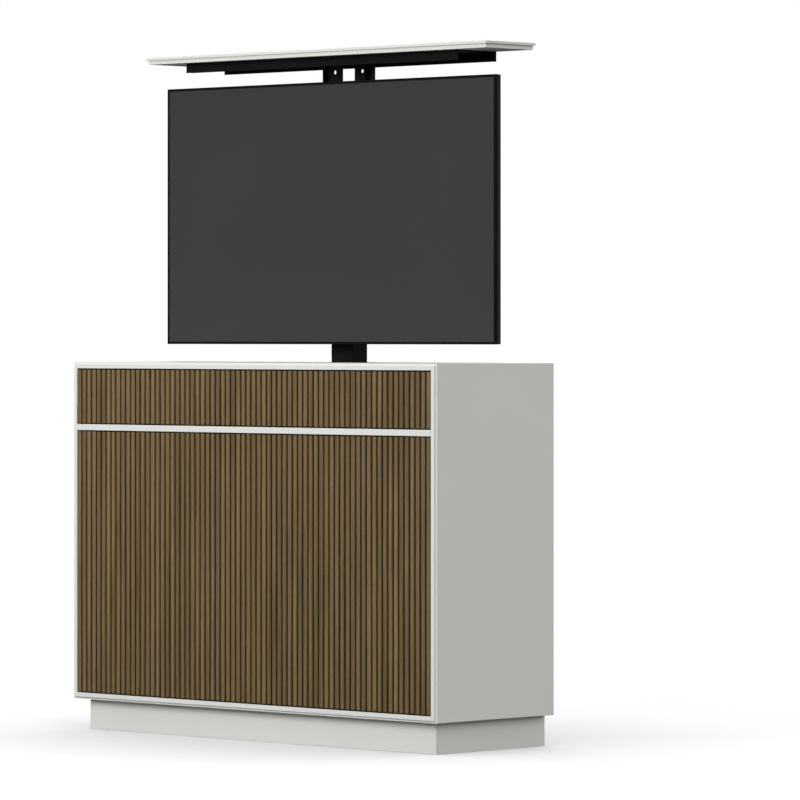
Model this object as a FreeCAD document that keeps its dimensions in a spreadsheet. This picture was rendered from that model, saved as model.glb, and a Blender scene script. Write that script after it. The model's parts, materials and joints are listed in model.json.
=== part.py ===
"""A television lift cabinet.

A lacquered case on a set-back plinth has fluted walnut fronts: a drop flap above
three doors.  A telescopic column in the rear bay carries the screen, and above it
the lid strip that closes the bay when the screen is down.

Millimetres, +Z up, the front faces -Y.  The origin lies on the floor, midway between
the sides and midway between the face frame and the back.  The screen is up.
"""
import FreeCAD, Part
import operator
import os
import Sketcher

SIZES = {
    # case
    "case_width": 1250,
    "case_depth": 400,
    "case_height": 835,
    "board": 16,
    "edge_ease": 1,
    "back_thickness": 8,
    "back_recess": 2,
    "outlet_inset": 195,
    "outlet_height": 120,
    "outlet_width": 90,
    "outlet_opening_height": 50,
    "outlet_wall": 3,
    "outlet_rim": 4,
    "outlet_rim_thickness": 2,
    # plinth
    "plinth_height": 75,
    "plinth_side_inset": 30,
    "plinth_front_inset": 28,
    "foot_pad_radius": 16,
    "foot_pad_thickness": 8,
    "foot_stem_radius": 6,
    "foot_flange_side": 50,
    "foot_flange_thickness": 4,
    "foot_corner_inset": 60,
    # face frame
    "frame_proud": 4.5,
    "frame_lip": 5,
    "frame_depth": 20,
    "frame_ease": 0.8,
    "flap_opening": 138,
    "mid_rail_height": 15,
    # fluted fronts
    "slat_width": 12.9,
    "slat_thickness": 7,
    "slat_ease": 1.2,
    "slats_per_door": 23,
    "backing": 16,
    "side_gap": 1.5,
    "head_gap": 3,
    "seam_gap": 2,
    # pivot hinges
    "pivot_inset": 4,
    "pin_radius": 1.5,
    "pin_length": 8,
    "pin_clearance": 0.05,
    "pin_end_gap": 1,
    "leaf_length": 40,
    "leaf_width": 14,
    "leaf_margin": 0.5,
    "door_leaf": 1.5,
    "flap_leaf": 1,
    # push latches
    "latch_side": 12,
    "latch_length": 60,
    "latch_bore_depth": 45,
    "latch_bore_clearance": 0.05,
    "latch_edge_distance": 20,
    "latch_travel": 4,
    "plunger_radius": 3.4,
    "plunger_length": 32,
    "plunger_gap": 0.3,
    "strike_side": 15,
    "strike_thickness": 1.5,
    # storage
    "door_clearance": 2,
    "partition_margin": 3,
    "cable_port_width": 50,
    "cable_port_height": 50,
    "cable_port_side": 400,
    "flap_port_height": 60,
    "door_port_height": 90,
    "shelf_height": 320,
    "shelf_gap": 1,
    "shelf_setback": 6,
    "cleat_width": 12,
    "cleat_height": 18,
    # lid
    "lid_side_margin": 40,
    "lid_depth": 172,
    "lid_back_margin": 21,
    "lid_cap": 6.5,
    "lid_tongue": 10,
    "lid_step": 4.5,
    "lid_gap": 1.5,
    "lid_seat_gap": 0.5,
    "lid_ease": 0.8,
    # lift column
    "lift_rise": 760,
    "column_margin": 59.5,
    "column_width": 76.5,
    "column_depth": 51.5,
    "column_wall": 2.5,
    "column_corner": 4,
    "column_spacing": 3,
    "collar_gap": 4,
    "collar_stagger": 13,
    "middle_ground_gap": 8,
    "inner_ground_gap": 12,
    "glide_length": 40,
    "glide_rim": 5,
    "glide_clearance": 0.3,
    "foot_width": 240,
    "foot_depth": 96,
    "foot_thickness": 6,
    "clamp_sheet": 3,
    "clamp_wing": 34,
    "clamp_cheek": 26,
    "clamp_height": 60,
    "back_rail_height": 100,
    "gearbox_width": 62,
    "gearbox_depth": 52,
    "gearbox_height": 64,
    "gearbox_ease": 5,
    "motor_radius": 24,
    "motor_length": 130,
    "motor_cap_radius": 20,
    "motor_cap_length": 10,
    # control box
    "control_width": 180,
    "control_depth": 70,
    "control_height": 42,
    "control_side": 330,
    "control_ease": 3,
    "inlet_width": 20,
    "inlet_height": 12,
    "inlet_depth": 14,
    # lid tray, cap plate and uprights
    "tray_length": 934.5,
    "tray_depth": 134,
    "tray_height": 24,
    "tray_sheet": 2.5,
    "tray_lip": 12,
    "tray_lip_relief": 12,
    "tray_setback": 27.5,
    "cap_width": 190,
    "cap_depth": 48,
    "cap_thickness": 5,
    "upright_inner": 21.3,
    "upright_width": 68,
    "upright_height": 105.5,
    "upright_sheet": 3,
    "upright_flange": 24,
    "upright_offset": 3,
    "upright_rib": 16,
    "upright_rib_inset": 17,
    "upright_hole_inset": 25.6,
    "upright_hole_drop": 9,
    "upright_hole_radius": 5,
    "lid_screw_radius": 2,
    "lid_screw_clearance": 0.2,
    "lid_screw_length": 14,
    "lid_screw_head_radius": 4,
    "lid_screw_head": 2.2,
    "lid_screw_end": 60,
    "lid_screw_side": 30,
    # screen
    "screen_width": 1130,
    "screen_height": 639,
    "screen_drop": 77,
    "screen_margin": 138.5,
    "screen_thickness": 20,
    "trim_depth": 7,
    "bezel_width": 6,
    "bezel_ease": 0.8,
    "glass_recess": 1.5,
    "cover_inset": 0.5,
    "cover_ease": 2,
    "housing_width": 760,
    "housing_height": 360,
    "housing_rise": 60,
    "housing_depth": 16,
    "housing_slope": 45,
    "vent_width": 160,
    "vent_height": 4,
    "vent_pitch": 10,
    "vent_rows": 6,
    "vent_side": 165,
    "vent_rise": 258,
    "vent_depth": 4,
    "port_bay_width": 140,
    "port_bay_height": 70,
    "port_bay_side": 200,
    "port_bay_rise": 50,
    "port_bay_depth": 10,
    "vesa_pitch": 200,
    "vesa_height": 300,
    "vesa_screw_radius": 2.9,
    "vesa_screw_clearance": 0.2,
    "vesa_screw_length": 12,
    "vesa_head_radius": 5,
    "vesa_head": 3,
    # screen mount
    "arm_width": 34,
    "arm_length": 300,
    "arm_sheet": 2,
    "plate_gap": 6,
    "plate_width": 236,
    "plate_height": 382,
    "plate_sheet": 3,
    "bracket_width": 60,
    "bracket_height": 60,
    "bracket_sheet": 3,
}


class Size:
    """A number together with the spreadsheet expression that gives it."""

    def __init__(self, text, value):
        self.text = text
        self.value = value

    def __add__(self, other):
        return combine(self, "+", other, operator.add)

    def __sub__(self, other):
        return combine(self, "-", other, operator.sub)

    def __rsub__(self, other):
        return combine(other, "-", self, operator.sub)

    def __mul__(self, other):
        return combine(self, "*", other, operator.mul)

    def __truediv__(self, other):
        return combine(self, "/", other, operator.truediv)

    def __neg__(self):
        return 0 - self

    __radd__ = __add__
    __rmul__ = __mul__


def as_size(value):
    return value if isinstance(value, Size) else Size(str(value), value)


def combine(first, sign, second, work):
    first = as_size(first)
    second = as_size(second)
    text = f"({first.text} {sign} {second.text})"
    return Size(text, work(first.value, second.value))


class Sheet:
    """The driving sizes: a spreadsheet in the document, read by name."""

    def __init__(self, document, sizes):
        table = document.addObject("Spreadsheet::Sheet", "Sizes")
        for row, (name, value) in enumerate(sizes.items(), start=1):
            table.set(f"A{row}", name)
            table.set(f"B{row}", str(value))
            table.setAlias(f"B{row}", name)
            setattr(self, name, Size(f"Sizes.{name}", value))


doc = FreeCAD.newDocument("tv_lift_cabinet")
S = Sheet(doc, SIZES)
doc.recompute()

kept = []

# Planes of the case, from the driving sizes.
HALF_WIDTH = S.case_width / 2
INNER_HALF = HALF_WIDTH - S.board
INNER_WIDTH = INNER_HALF * 2
FRONT = -(S.case_depth + S.frame_proud) / 2
CARCASE_FRONT = FRONT + S.frame_proud
BACK = CARCASE_FRONT + S.case_depth
REBATE_DEPTH = S.frame_depth - S.frame_proud
FRAME_BACK = FRONT + S.frame_depth
FRAME_BAR = S.board - S.frame_lip
FLOOR = S.plinth_height + S.board
TOP = S.plinth_height + S.case_height
CEILING = TOP - S.board
FLAP_SILL = CEILING - S.flap_opening
DOOR_HEAD = FLAP_SILL - S.mid_rail_height
COMPARTMENT_BOTTOM = FLAP_SILL - S.board

# Fluted fronts: one pitch runs across all three doors and the flap.
FRONT_WIDTH = INNER_WIDTH - 2 * S.side_gap
FRONT_LEFT = -FRONT_WIDTH / 2
SLAT_COUNT = 3 * S.slats_per_door
SLAT_PITCH = (FRONT_WIDTH - S.slat_width) / (SLAT_COUNT - 1)
DOOR_PITCH = SLAT_PITCH * S.slats_per_door
GROOVE = SLAT_PITCH - S.slat_width
SEAM_LEFT = FRONT_LEFT + DOOR_PITCH - GROOVE / 2
SEAM_RIGHT = SEAM_LEFT + DOOR_PITCH
FRONT_BACK = FRONT + S.slat_thickness + S.backing
FLAP_BOTTOM = FLAP_SILL + S.head_gap
FLAP_HEIGHT = S.flap_opening - 2 * S.head_gap
DOOR_BOTTOM = FLOOR + S.head_gap
DOOR_HEIGHT = DOOR_HEAD - FLOOR - 2 * S.head_gap
PIVOT_Y = FRONT + S.pivot_inset
FLAP_PIVOT_Z = FLAP_BOTTOM + S.pivot_inset
LEFT_PIVOT = FRONT_LEFT + S.pivot_inset
MIDDLE_PIVOT = SEAM_LEFT + S.seam_gap / 2 + S.pivot_inset
RIGHT_PIVOT = -LEFT_PIVOT
BORE_RADIUS = S.pin_radius + S.pin_clearance
BORE_DEPTH = S.pin_length + S.pin_end_gap

# Lid and lift bay.
LID_WIDTH = S.case_width - 2 * S.lid_side_margin
LID_BACK = BACK - S.lid_back_margin
LID_FRONT = LID_BACK - S.lid_depth
LID_TOP = TOP + S.lift_rise
LID_UNDERSIDE = LID_TOP - S.lid_cap - S.lid_tongue
PARTITION_BACK = LID_FRONT - S.partition_margin
PARTITION_FRONT = PARTITION_BACK - S.board
BACK_PANEL_FRONT = BACK - S.back_recess - S.back_thickness
BACK_RAIL_FRONT = BACK_PANEL_FRONT - S.board

# Storage behind the doors.
STORE_FRONT = FRONT_BACK + S.door_clearance
SHELF_BOTTOM = FLOOR + S.shelf_height
OUTLET_X = S.outlet_inset - HALF_WIDTH

# Lid tray.
TRAY_FRONT = LID_FRONT + S.tray_setback
TRAY_BOTTOM = LID_UNDERSIDE - S.tray_height
WEB_UNDERSIDE = LID_UNDERSIDE - S.tray_sheet

# Lift column: each tube runs inside the next with the same spacing.  With the lid
# down, the screen's bracket just clears the middle tube, and that the outer one.
COLUMN_Y = BACK - S.column_margin
STEP = (S.column_wall + S.column_spacing) * 2
OUTER = (S.column_width + STEP, S.column_depth + STEP)
MIDDLE = (S.column_width, S.column_depth)
INNER = (S.column_width - STEP, S.column_depth - STEP)
FOOT_TOP = FLOOR + S.foot_thickness
CAP_TOP = WEB_UNDERSIDE - S.upright_height
INNER_TOP = CAP_TOP - S.cap_thickness
INNER_BOTTOM = FOOT_TOP + S.inner_ground_gap + S.lift_rise
LOW_BRACKET = INNER_TOP - S.lift_rise - S.bracket_height
LOW_MIDDLE_TOP = LOW_BRACKET - S.collar_gap - S.glide_rim
MIDDLE_BOTTOM = FOOT_TOP + S.middle_ground_gap + S.lift_rise / 2
MIDDLE_TOP = LOW_MIDDLE_TOP + S.lift_rise / 2
OUTER_TOP = LOW_MIDDLE_TOP - S.collar_stagger

# Screen and its mount.
SCREEN_FRONT = BACK - S.screen_margin
SCREEN_BACK = SCREEN_FRONT + S.screen_thickness
SCREEN_TOP = LID_TOP - S.screen_drop
SCREEN_BOTTOM = SCREEN_TOP - S.screen_height
HOUSING_BACK = SCREEN_BACK + S.housing_depth
VESA_CENTRE = SCREEN_BOTTOM + S.vesa_height
PLATE_FRONT = HOUSING_BACK + S.plate_gap
PLATE_BOTTOM = INNER_TOP - S.plate_height
INNER_FRONT = COLUMN_Y - INNER[1] / 2

UPRIGHT_FRONT = COLUMN_Y - S.upright_offset


# Building blocks.


def bind(thing, name, value):
    thing.setExpression(name, as_size(value).text)


def place(thing, x, y, z):
    for axis, value in zip("xyz", (x, y, z)):
        bind(thing, "Placement.Base." + axis, value)
    return thing


def keep(thing):
    """Mark a finished sub-part, whose label names its file."""
    kept.append(thing)
    return thing


def new_body(label):
    body = doc.addObject("PartDesign::Body", label)
    body.Label = label
    body.AllowCompound = True
    return body


def origin_feature(body, role):
    return next(item for item in body.Origin.OriginFeatures if item.Role == role)


def sketch_on(body, role, offset=0):
    """A sketch on one of the body's own planes, moved along the plane's normal."""
    sketch = body.newObject("Sketcher::SketchObject", body.Label + "_sketch")
    sketch.AttachmentSupport = [(origin_feature(body, role), "")]
    sketch.MapMode = "FlatFace"
    bind(sketch, "AttachmentOffset.Base.z", offset)
    return sketch


def number(value):
    return as_size(value).value


def dimension(sketch, kind, geometry, vertex, value, axis):
    """Hold one point at a distance from the sketch's origin, or on its axis."""
    if number(value) == 0:
        sketch.addConstraint(Sketcher.Constraint("PointOnObject", geometry, vertex, axis))
        return
    rule = Sketcher.Constraint(kind, -1, 1, geometry, vertex, number(value))
    index = sketch.addConstraint(rule)
    name = f"{kind}_{geometry}"
    sketch.renameConstraint(index, name)
    bind(sketch, "Constraints." + name, value)


def fix_point(sketch, geometry, vertex, x, y):
    dimension(sketch, "DistanceX", geometry, vertex, x, -2)
    dimension(sketch, "DistanceY", geometry, vertex, y, -1)


def polygon(sketch, points):
    """A closed outline of straight edges through the given corners."""
    first = sketch.GeometryCount
    corners = [FreeCAD.Vector(number(x), number(y), 0) for x, y in points]
    for start, end in zip(corners, corners[1:] + corners[:1]):
        sketch.addGeometry(Part.LineSegment(start, end), False)
    for index, (x, y) in enumerate(points):
        line = first + index
        following = first + (index + 1) % len(points)
        sketch.addConstraint(Sketcher.Constraint("Coincident", line, 2, following, 1))
    for index, (x, y) in enumerate(points):
        fix_point(sketch, first + index, 1, x, y)


def rectangle(sketch, left, bottom, width, height):
    right = left + width
    top = bottom + height
    polygon(sketch, [(left, bottom), (right, bottom), (right, top), (left, top)])


def centred_rectangle(sketch, width, height):
    rectangle(sketch, -width / 2, -height / 2, width, height)


def circle(sketch, x, y, radius):
    centre = FreeCAD.Vector(number(x), number(y), 0)
    normal = FreeCAD.Vector(0, 0, 1)
    index = sketch.addGeometry(Part.Circle(centre, normal, number(radius)), False)
    fix_point(sketch, index, 3, x, y)
    rule = sketch.addConstraint(Sketcher.Constraint("Radius", index, number(radius)))
    name = f"Radius_{index}"
    sketch.renameConstraint(rule, name)
    bind(sketch, "Constraints." + name, radius)


def pad(body, sketch, length, backwards=False):
    feature = body.newObject("PartDesign::Pad", body.Label + "_pad")
    feature.Profile = sketch
    feature.Reversed = backwards
    bind(feature, "Length", length)
    return feature


def pocket(body, sketch, depth, backwards=False):
    feature = body.newObject("PartDesign::Pocket", body.Label + "_pocket")
    feature.Profile = sketch
    feature.Reversed = backwards
    bind(feature, "Length", depth)
    return feature


def repeat(body, feature, role, spacing, count):
    """Copies of one feature in a row along an axis of the body."""
    pattern = body.newObject("PartDesign::LinearPattern", body.Label + "_row")
    pattern.Originals = [feature]
    pattern.Direction = (origin_feature(body, role), [""])
    bind(pattern, "Occurrences", count)
    bind(pattern, "Length", (count - 1) * spacing)
    body.Tip = pattern
    return pattern


def ease(body, radius, chosen):
    """Round the edges of the body's present shape that the test picks out."""
    doc.recompute()
    base = body.Tip
    edges = enumerate(base.Shape.Edges, start=1)
    names = [f"Edge{index}" for index, edge in edges if chosen(edge)]
    feature = body.newObject("PartDesign::Fillet", body.Label + "_ease")
    feature.Base = (base, names)
    bind(feature, "Radius", radius)
    return feature


def lies_at(axis, value):
    """A test for edges that lie wholly in one plane square to an axis."""
    target = number(value)

    def test(edge):
        ends = [getattr(vertex.Point, axis) for vertex in edge.Vertexes]
        return all(abs(end - target) < 1e-6 for end in ends)

    return test


def runs_along(axis):
    """A test for straight edges parallel to an axis."""
    others = [other for other in "xyz" if other != axis]

    def test(edge):
        start, end = edge.Vertexes[0].Point, edge.Vertexes[-1].Point
        return all(abs(getattr(start, o) - getattr(end, o)) < 1e-6 for o in others)

    return test


def block(name, corner, size):
    box = doc.addObject("Part::Box", name)
    for prop, value in zip(("Length", "Width", "Height"), size):
        bind(box, prop, value)
    return place(box, *corner)


DIRECTIONS = {
    "x": FreeCAD.Vector(1, 0, 0),
    "y": FreeCAD.Vector(0, 1, 0),
    "z": FreeCAD.Vector(0, 0, 1),
}


def rod(name, base, axis, radius, length):
    """A round bar from a base point along an axis."""
    cylinder = doc.addObject("Part::Cylinder", name)
    bind(cylinder, "Radius", radius)
    bind(cylinder, "Height", length)
    turn = FreeCAD.Rotation(DIRECTIONS["z"], DIRECTIONS[axis])
    cylinder.Placement = FreeCAD.Placement(FreeCAD.Vector(), turn)
    return place(cylinder, *base)


def prism(name, base, sides, radius, length, axis="z"):
    """An upright or lying bar with a regular section, from a base point."""
    bar = doc.addObject("Part::Prism", name)
    bar.Polygon = sides
    bind(bar, "Circumradius", radius)
    bind(bar, "Height", length)
    turn = FreeCAD.Rotation(DIRECTIONS["z"], DIRECTIONS[axis])
    bar.Placement = FreeCAD.Placement(FreeCAD.Vector(), turn)
    return place(bar, *base)


def fused(name, members):
    union = doc.addObject("Part::MultiFuse", name)
    union.Shapes = members
    return union


def group(label, members):
    """Separate solids that share one node."""
    compound = doc.addObject("Part::Compound", label)
    compound.Label = label
    compound.Links = members
    return compound


def copies(label, base, places):
    """The same piece at several places, as separate solids of one node."""
    links = []
    for position in places:
        link = doc.addObject("App::Link", label + "_copy")
        link.LinkedObject = base
        link.Placement = base.Placement
        links.append(place(link, *position))
    return group(label, links)


# Plinth.


def build_plinth():
    width = S.case_width - 2 * S.plinth_side_inset
    left = -width / 2
    front = CARCASE_FRONT + S.plinth_front_inset
    side_depth = BACK - front - 2 * S.board
    keep(block("plinth_front", (left, front, 0), (width, S.board, S.plinth_height)))
    keep(block("plinth_back", (left, BACK - S.board, 0), (width, S.board, S.plinth_height)))
    side = (S.board, side_depth, S.plinth_height)
    sides = [
        block("plinth_side_left", (left, front + S.board, 0), side),
        block("plinth_side_right", (-left - S.board, front + S.board, 0), side),
    ]
    keep(group("plinth_sides", sides))


def build_feet():
    """Levelling feet inside the plinth: octagonal pads, hexagonal stems, square flanges."""
    pad_part = prism("foot_pad", (0, 0, 0), 8, S.foot_pad_radius, S.foot_pad_thickness)
    stem = prism("foot_stem", (0, 0, 0), 6, S.foot_stem_radius, S.plinth_height)
    side = S.foot_flange_side
    flange_base = (-side / 2, -side / 2, S.plinth_height - S.foot_flange_thickness)
    flange = block("foot_flange", flange_base, (side, side, S.foot_flange_thickness))
    foot = fused("foot", [pad_part, stem, flange])
    x = HALF_WIDTH - S.plinth_side_inset - S.foot_corner_inset
    front = CARCASE_FRONT + S.plinth_front_inset + S.foot_corner_inset
    back = BACK - S.foot_corner_inset
    places = [(column, row, 0) for column in (-x, 0, x) for row in (front, back)]
    keep(copies("levelling_feet", foot, places))


# Case boards.


def build_side(label, on_left):
    body = new_body(label)
    outline = sketch_on(body, "XY_Plane")
    rectangle(outline, 0, 0, S.board, S.case_depth)
    pad(body, outline, S.case_height)
    rebate = sketch_on(body, "XZ_Plane")
    start = S.frame_lip if on_left else 0
    rectangle(rebate, start, S.frame_lip, FRAME_BAR, S.case_height - 2 * S.frame_lip)
    pocket(body, rebate, REBATE_DEPTH)
    outer_face = 0 if on_left else S.board
    ease(body, S.edge_ease, lies_at("x", outer_face))
    left = -HALF_WIDTH if on_left else INNER_HALF
    keep(place(body, left, CARCASE_FRONT, S.plinth_height))


def build_bottom_board():
    body = new_body("bottom_board")
    section = sketch_on(body, "YZ_Plane")
    polygon(section, [
        (0, 0),
        (S.case_depth, 0),
        (S.case_depth, S.board),
        (REBATE_DEPTH, S.board),
        (REBATE_DEPTH, S.frame_lip),
        (0, S.frame_lip),
    ])
    pad(body, section, INNER_WIDTH)
    keep(place(body, -INNER_HALF, CARCASE_FRONT, S.plinth_height))


def lid_cut(body, inset, depth):
    """Cut the lid's outline, drawn in by an inset, down from the top face."""
    sketch = sketch_on(body, "XY_Plane", S.board)
    width = LID_WIDTH + 2 * S.lid_gap - 2 * inset
    length = S.lid_depth + 2 * S.lid_gap - 2 * inset
    front = LID_FRONT - S.lid_gap + inset - CARCASE_FRONT
    rectangle(sketch, (INNER_WIDTH - width) / 2, front, width, length)
    pocket(body, sketch, depth)


def build_top_board():
    """The top has a rebated opening, on whose ledge the lowered lid lies flush."""
    body = new_body("top_board")
    section = sketch_on(body, "YZ_Plane")
    polygon(section, [
        (0, FRAME_BAR),
        (REBATE_DEPTH, FRAME_BAR),
        (REBATE_DEPTH, 0),
        (S.case_depth, 0),
        (S.case_depth, S.board),
        (0, S.board),
    ])
    pad(body, section, INNER_WIDTH)
    lid_cut(body, 0, S.lid_cap + S.lid_seat_gap)
    lid_cut(body, S.lid_step, S.board)
    keep(place(body, -INNER_HALF, CARCASE_FRONT, CEILING))


def build_back():
    body = new_body("back_panel")
    outline = sketch_on(body, "XZ_Plane")
    rectangle(outline, 0, 0, INNER_WIDTH, CEILING - FLOOR)
    pad(body, outline, S.back_thickness, backwards=True)
    hole = sketch_on(body, "XZ_Plane")
    centre = OUTLET_X + INNER_HALF
    rectangle(hole, centre - S.outlet_width / 2, S.outlet_height - S.outlet_opening_height / 2,
              S.outlet_width, S.outlet_opening_height)
    pocket(body, hole, S.back_thickness)
    keep(place(body, -INNER_HALF, BACK_PANEL_FRONT, FLOOR))


def build_cable_outlet():
    """A plastic sleeve in the back panel's opening, with a rim behind the panel."""
    body = new_body("cable_outlet")
    size = (S.outlet_width, S.outlet_opening_height)
    mouth = grown(size, -2 * S.outlet_wall)
    sleeve = sketch_on(body, "XZ_Plane")
    centred_rectangle(sleeve, *size)
    centred_rectangle(sleeve, *mouth)
    pad(body, sleeve, S.back_thickness, backwards=True)
    rim = sketch_on(body, "XZ_Plane", -S.back_thickness)
    centred_rectangle(rim, *grown(size, 2 * S.outlet_rim))
    centred_rectangle(rim, *mouth)
    pad(body, rim, S.outlet_rim_thickness, backwards=True)
    keep(place(body, OUTLET_X, BACK_PANEL_FRONT, FLOOR + S.outlet_height))


def build_partition():
    """The upright board between the storage and the lift bay, with cable ports."""
    body = new_body("bay_partition")
    outline = sketch_on(body, "XZ_Plane")
    rectangle(outline, 0, 0, INNER_WIDTH, CEILING - FLOOR)
    heights = (S.door_port_height, FLAP_SILL - FLOOR + S.flap_port_height)
    for height in heights:
        for side in (-1, 1):
            left = INNER_HALF + side * S.cable_port_side - S.cable_port_width / 2
            bottom = height - S.cable_port_height / 2
            rectangle(outline, left, bottom, S.cable_port_width, S.cable_port_height)
    pad(body, outline, S.board, backwards=True)
    keep(place(body, -INNER_HALF, PARTITION_FRONT, FLOOR))


def build_compartment_board():
    depth = PARTITION_FRONT - FRAME_BACK
    corner = (-INNER_HALF, FRAME_BACK, COMPARTMENT_BOTTOM)
    keep(block("compartment_board", corner, (INNER_WIDTH, depth, S.board)))


def build_divider(name, seam):
    size = (S.board, PARTITION_FRONT - STORE_FRONT, COMPARTMENT_BOTTOM - FLOOR)
    return block(name, (seam - S.board / 2, STORE_FRONT, FLOOR), size)


def build_storage():
    """Two dividers, and in each of the three spaces a shelf on two cleats."""
    dividers = [
        build_divider("divider_left", SEAM_LEFT),
        build_divider("divider_right", SEAM_RIGHT),
    ]
    keep(group("dividers", dividers))
    bays = [
        ("left", -INNER_HALF, SEAM_LEFT - S.board / 2),
        ("middle", SEAM_LEFT + S.board / 2, SEAM_RIGHT - S.board / 2),
        ("right", SEAM_RIGHT + S.board / 2, INNER_HALF),
    ]
    front = STORE_FRONT + S.shelf_setback
    depth = PARTITION_FRONT - S.shelf_gap - front
    cleat = block("cleat", (0, 0, 0), (S.cleat_width, depth, S.cleat_height))
    shelves = []
    cleats = []
    for name, start, end in bays:
        corner = (start + S.shelf_gap, front, SHELF_BOTTOM)
        size = (end - start - 2 * S.shelf_gap, depth, S.board)
        shelves.append(block(f"shelf_{name}", corner, size))
        starts = (start, end - S.cleat_width)
        cleats += [(x, front, SHELF_BOTTOM - S.cleat_height) for x in starts]
    keep(group("shelves", shelves))
    keep(copies("shelf_cleats", cleat, cleats))


# Face frame, let into the rebated front of the case.


def build_stile(name, on_left):
    body = new_body(name)
    outline = sketch_on(body, "XY_Plane")
    rectangle(outline, 0, 0, FRAME_BAR, S.frame_depth)
    height = S.case_height - 2 * S.frame_lip
    pad(body, outline, height)
    bottom = S.plinth_height + S.frame_lip
    bore = sketch_on(body, "YZ_Plane", FRAME_BAR if on_left else 0)
    circle(bore, S.pivot_inset, FLAP_PIVOT_Z - bottom, BORE_RADIUS)
    pocket(body, bore, BORE_DEPTH, backwards=not on_left)
    ease(body, S.frame_ease, lies_at("y", 0))
    left = -HALF_WIDTH + S.frame_lip if on_left else INNER_HALF
    return place(body, left, FRONT, bottom)


def build_rail(label, bottom, height, bored_face=None):
    """A rail between the stiles; one face may be bored for the door pivots."""
    body = new_body(label)
    outline = sketch_on(body, "XY_Plane")
    rectangle(outline, 0, 0, INNER_WIDTH, S.frame_depth)
    pad(body, outline, height)
    if bored_face is not None:
        bores = sketch_on(body, "XY_Plane", height if bored_face == "top" else 0)
        for pivot in (LEFT_PIVOT, MIDDLE_PIVOT, RIGHT_PIVOT):
            circle(bores, pivot + INNER_HALF, S.pivot_inset, BORE_RADIUS)
        pocket(body, bores, BORE_DEPTH, backwards=bored_face == "underside")
    long_edge = runs_along("x")
    front_edge = lies_at("y", 0)
    ease(body, S.frame_ease, lambda edge: long_edge(edge) and front_edge(edge))
    keep(place(body, -INNER_HALF, FRONT, bottom))


def build_frame():
    stiles = [build_stile("stile_left", True), build_stile("stile_right", False)]
    keep(group("frame_stiles", stiles))
    build_rail("frame_top_rail", CEILING, FRAME_BAR)
    build_rail("frame_mid_rail", DOOR_HEAD, S.mid_rail_height, "underside")
    build_rail("frame_bottom_rail", FLOOR - FRAME_BAR, FRAME_BAR, "top")


# Fluted fronts.


def build_slats(label, left, bottom, height, count):
    body = new_body(label)
    section = sketch_on(body, "XY_Plane")
    polygon(section, [
        (0, S.slat_ease),
        (S.slat_ease, 0),
        (S.slat_width - S.slat_ease, 0),
        (S.slat_width, S.slat_ease),
        (S.slat_width, S.slat_thickness),
        (0, S.slat_thickness),
    ])
    slat = pad(body, section, height)
    repeat(body, slat, "X_Axis", SLAT_PITCH, count)
    keep(place(body, left, FRONT, bottom))


def door_leaf(name, pivot, side, plate_bottom, pin_bottom):
    """A hinge leaf on a door's end, with the pin that turns in the frame's bush."""
    edge = pivot - side * (S.pivot_inset - S.leaf_margin)
    start = edge if side > 0 else edge - S.leaf_length
    corner = (start, FRONT + S.leaf_margin, plate_bottom)
    plate = block(name + "_plate", corner, (S.leaf_length, S.leaf_width, S.door_leaf))
    length = S.pin_length + S.door_leaf
    pin = rod(name + "_pin", (pivot, PIVOT_Y, pin_bottom), "z", S.pin_radius, length)
    return fused(name, [plate, pin])


def strike_plate(name, x, head):
    """The plate that a latch plunger bears on, at the top of a front's rear face."""
    side = S.strike_side
    return block(name, (x - side / 2, FRONT_BACK, head - side), (side, S.strike_thickness, side))


def build_door(name, left, right, first_slat, pivot, side):
    """One door; side is the way it extends from its pivot."""
    size = (right - left, S.backing, DOOR_HEIGHT)
    keep(block(f"{name}_panel", (left, FRONT + S.slat_thickness, DOOR_BOTTOM), size))
    build_slats(f"{name}_slats", first_slat, DOOR_BOTTOM, DOOR_HEIGHT, S.slats_per_door)
    head = DOOR_BOTTOM + DOOR_HEIGHT
    low = DOOR_BOTTOM - S.door_leaf
    upper = door_leaf(f"{name}_upper_leaf", pivot, side, head, head)
    lower = door_leaf(f"{name}_lower_leaf", pivot, side, low, low - S.pin_length)
    edge = right if side > 0 else left
    latch = edge - side * S.latch_edge_distance
    strike = strike_plate(f"{name}_strike", latch, head)
    keep(group(f"{name}_hardware", [upper, lower, strike]))
    return latch


def flap_leaf(name, side):
    """A hinge leaf on the flap's end, with the pin that turns in the stile's bush."""
    end = side * FRONT_WIDTH / 2
    start = end if side > 0 else end - S.flap_leaf
    corner = (start, FRONT + S.leaf_margin, FLAP_BOTTOM + S.leaf_margin)
    plate = block(name + "_plate", corner, (S.flap_leaf, S.leaf_width, S.leaf_length))
    length = S.pin_length + S.flap_leaf
    pin_start = end if side > 0 else end - length
    pin = rod(name + "_pin", (pin_start, PIVOT_Y, FLAP_PIVOT_Z), "x", S.pin_radius, length)
    return fused(name, [plate, pin])


def build_flap():
    size = (FRONT_WIDTH, S.backing, FLAP_HEIGHT)
    keep(block("flap_panel", (FRONT_LEFT, FRONT + S.slat_thickness, FLAP_BOTTOM), size))
    build_slats("flap_slats", FRONT_LEFT, FLAP_BOTTOM, FLAP_HEIGHT, SLAT_COUNT)
    strike = strike_plate("flap_strike", 0, FLAP_BOTTOM + FLAP_HEIGHT)
    leaves = [flap_leaf("flap_left_leaf", -1), flap_leaf("flap_right_leaf", 1)]
    keep(group("flap_hardware", leaves + [strike]))


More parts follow.
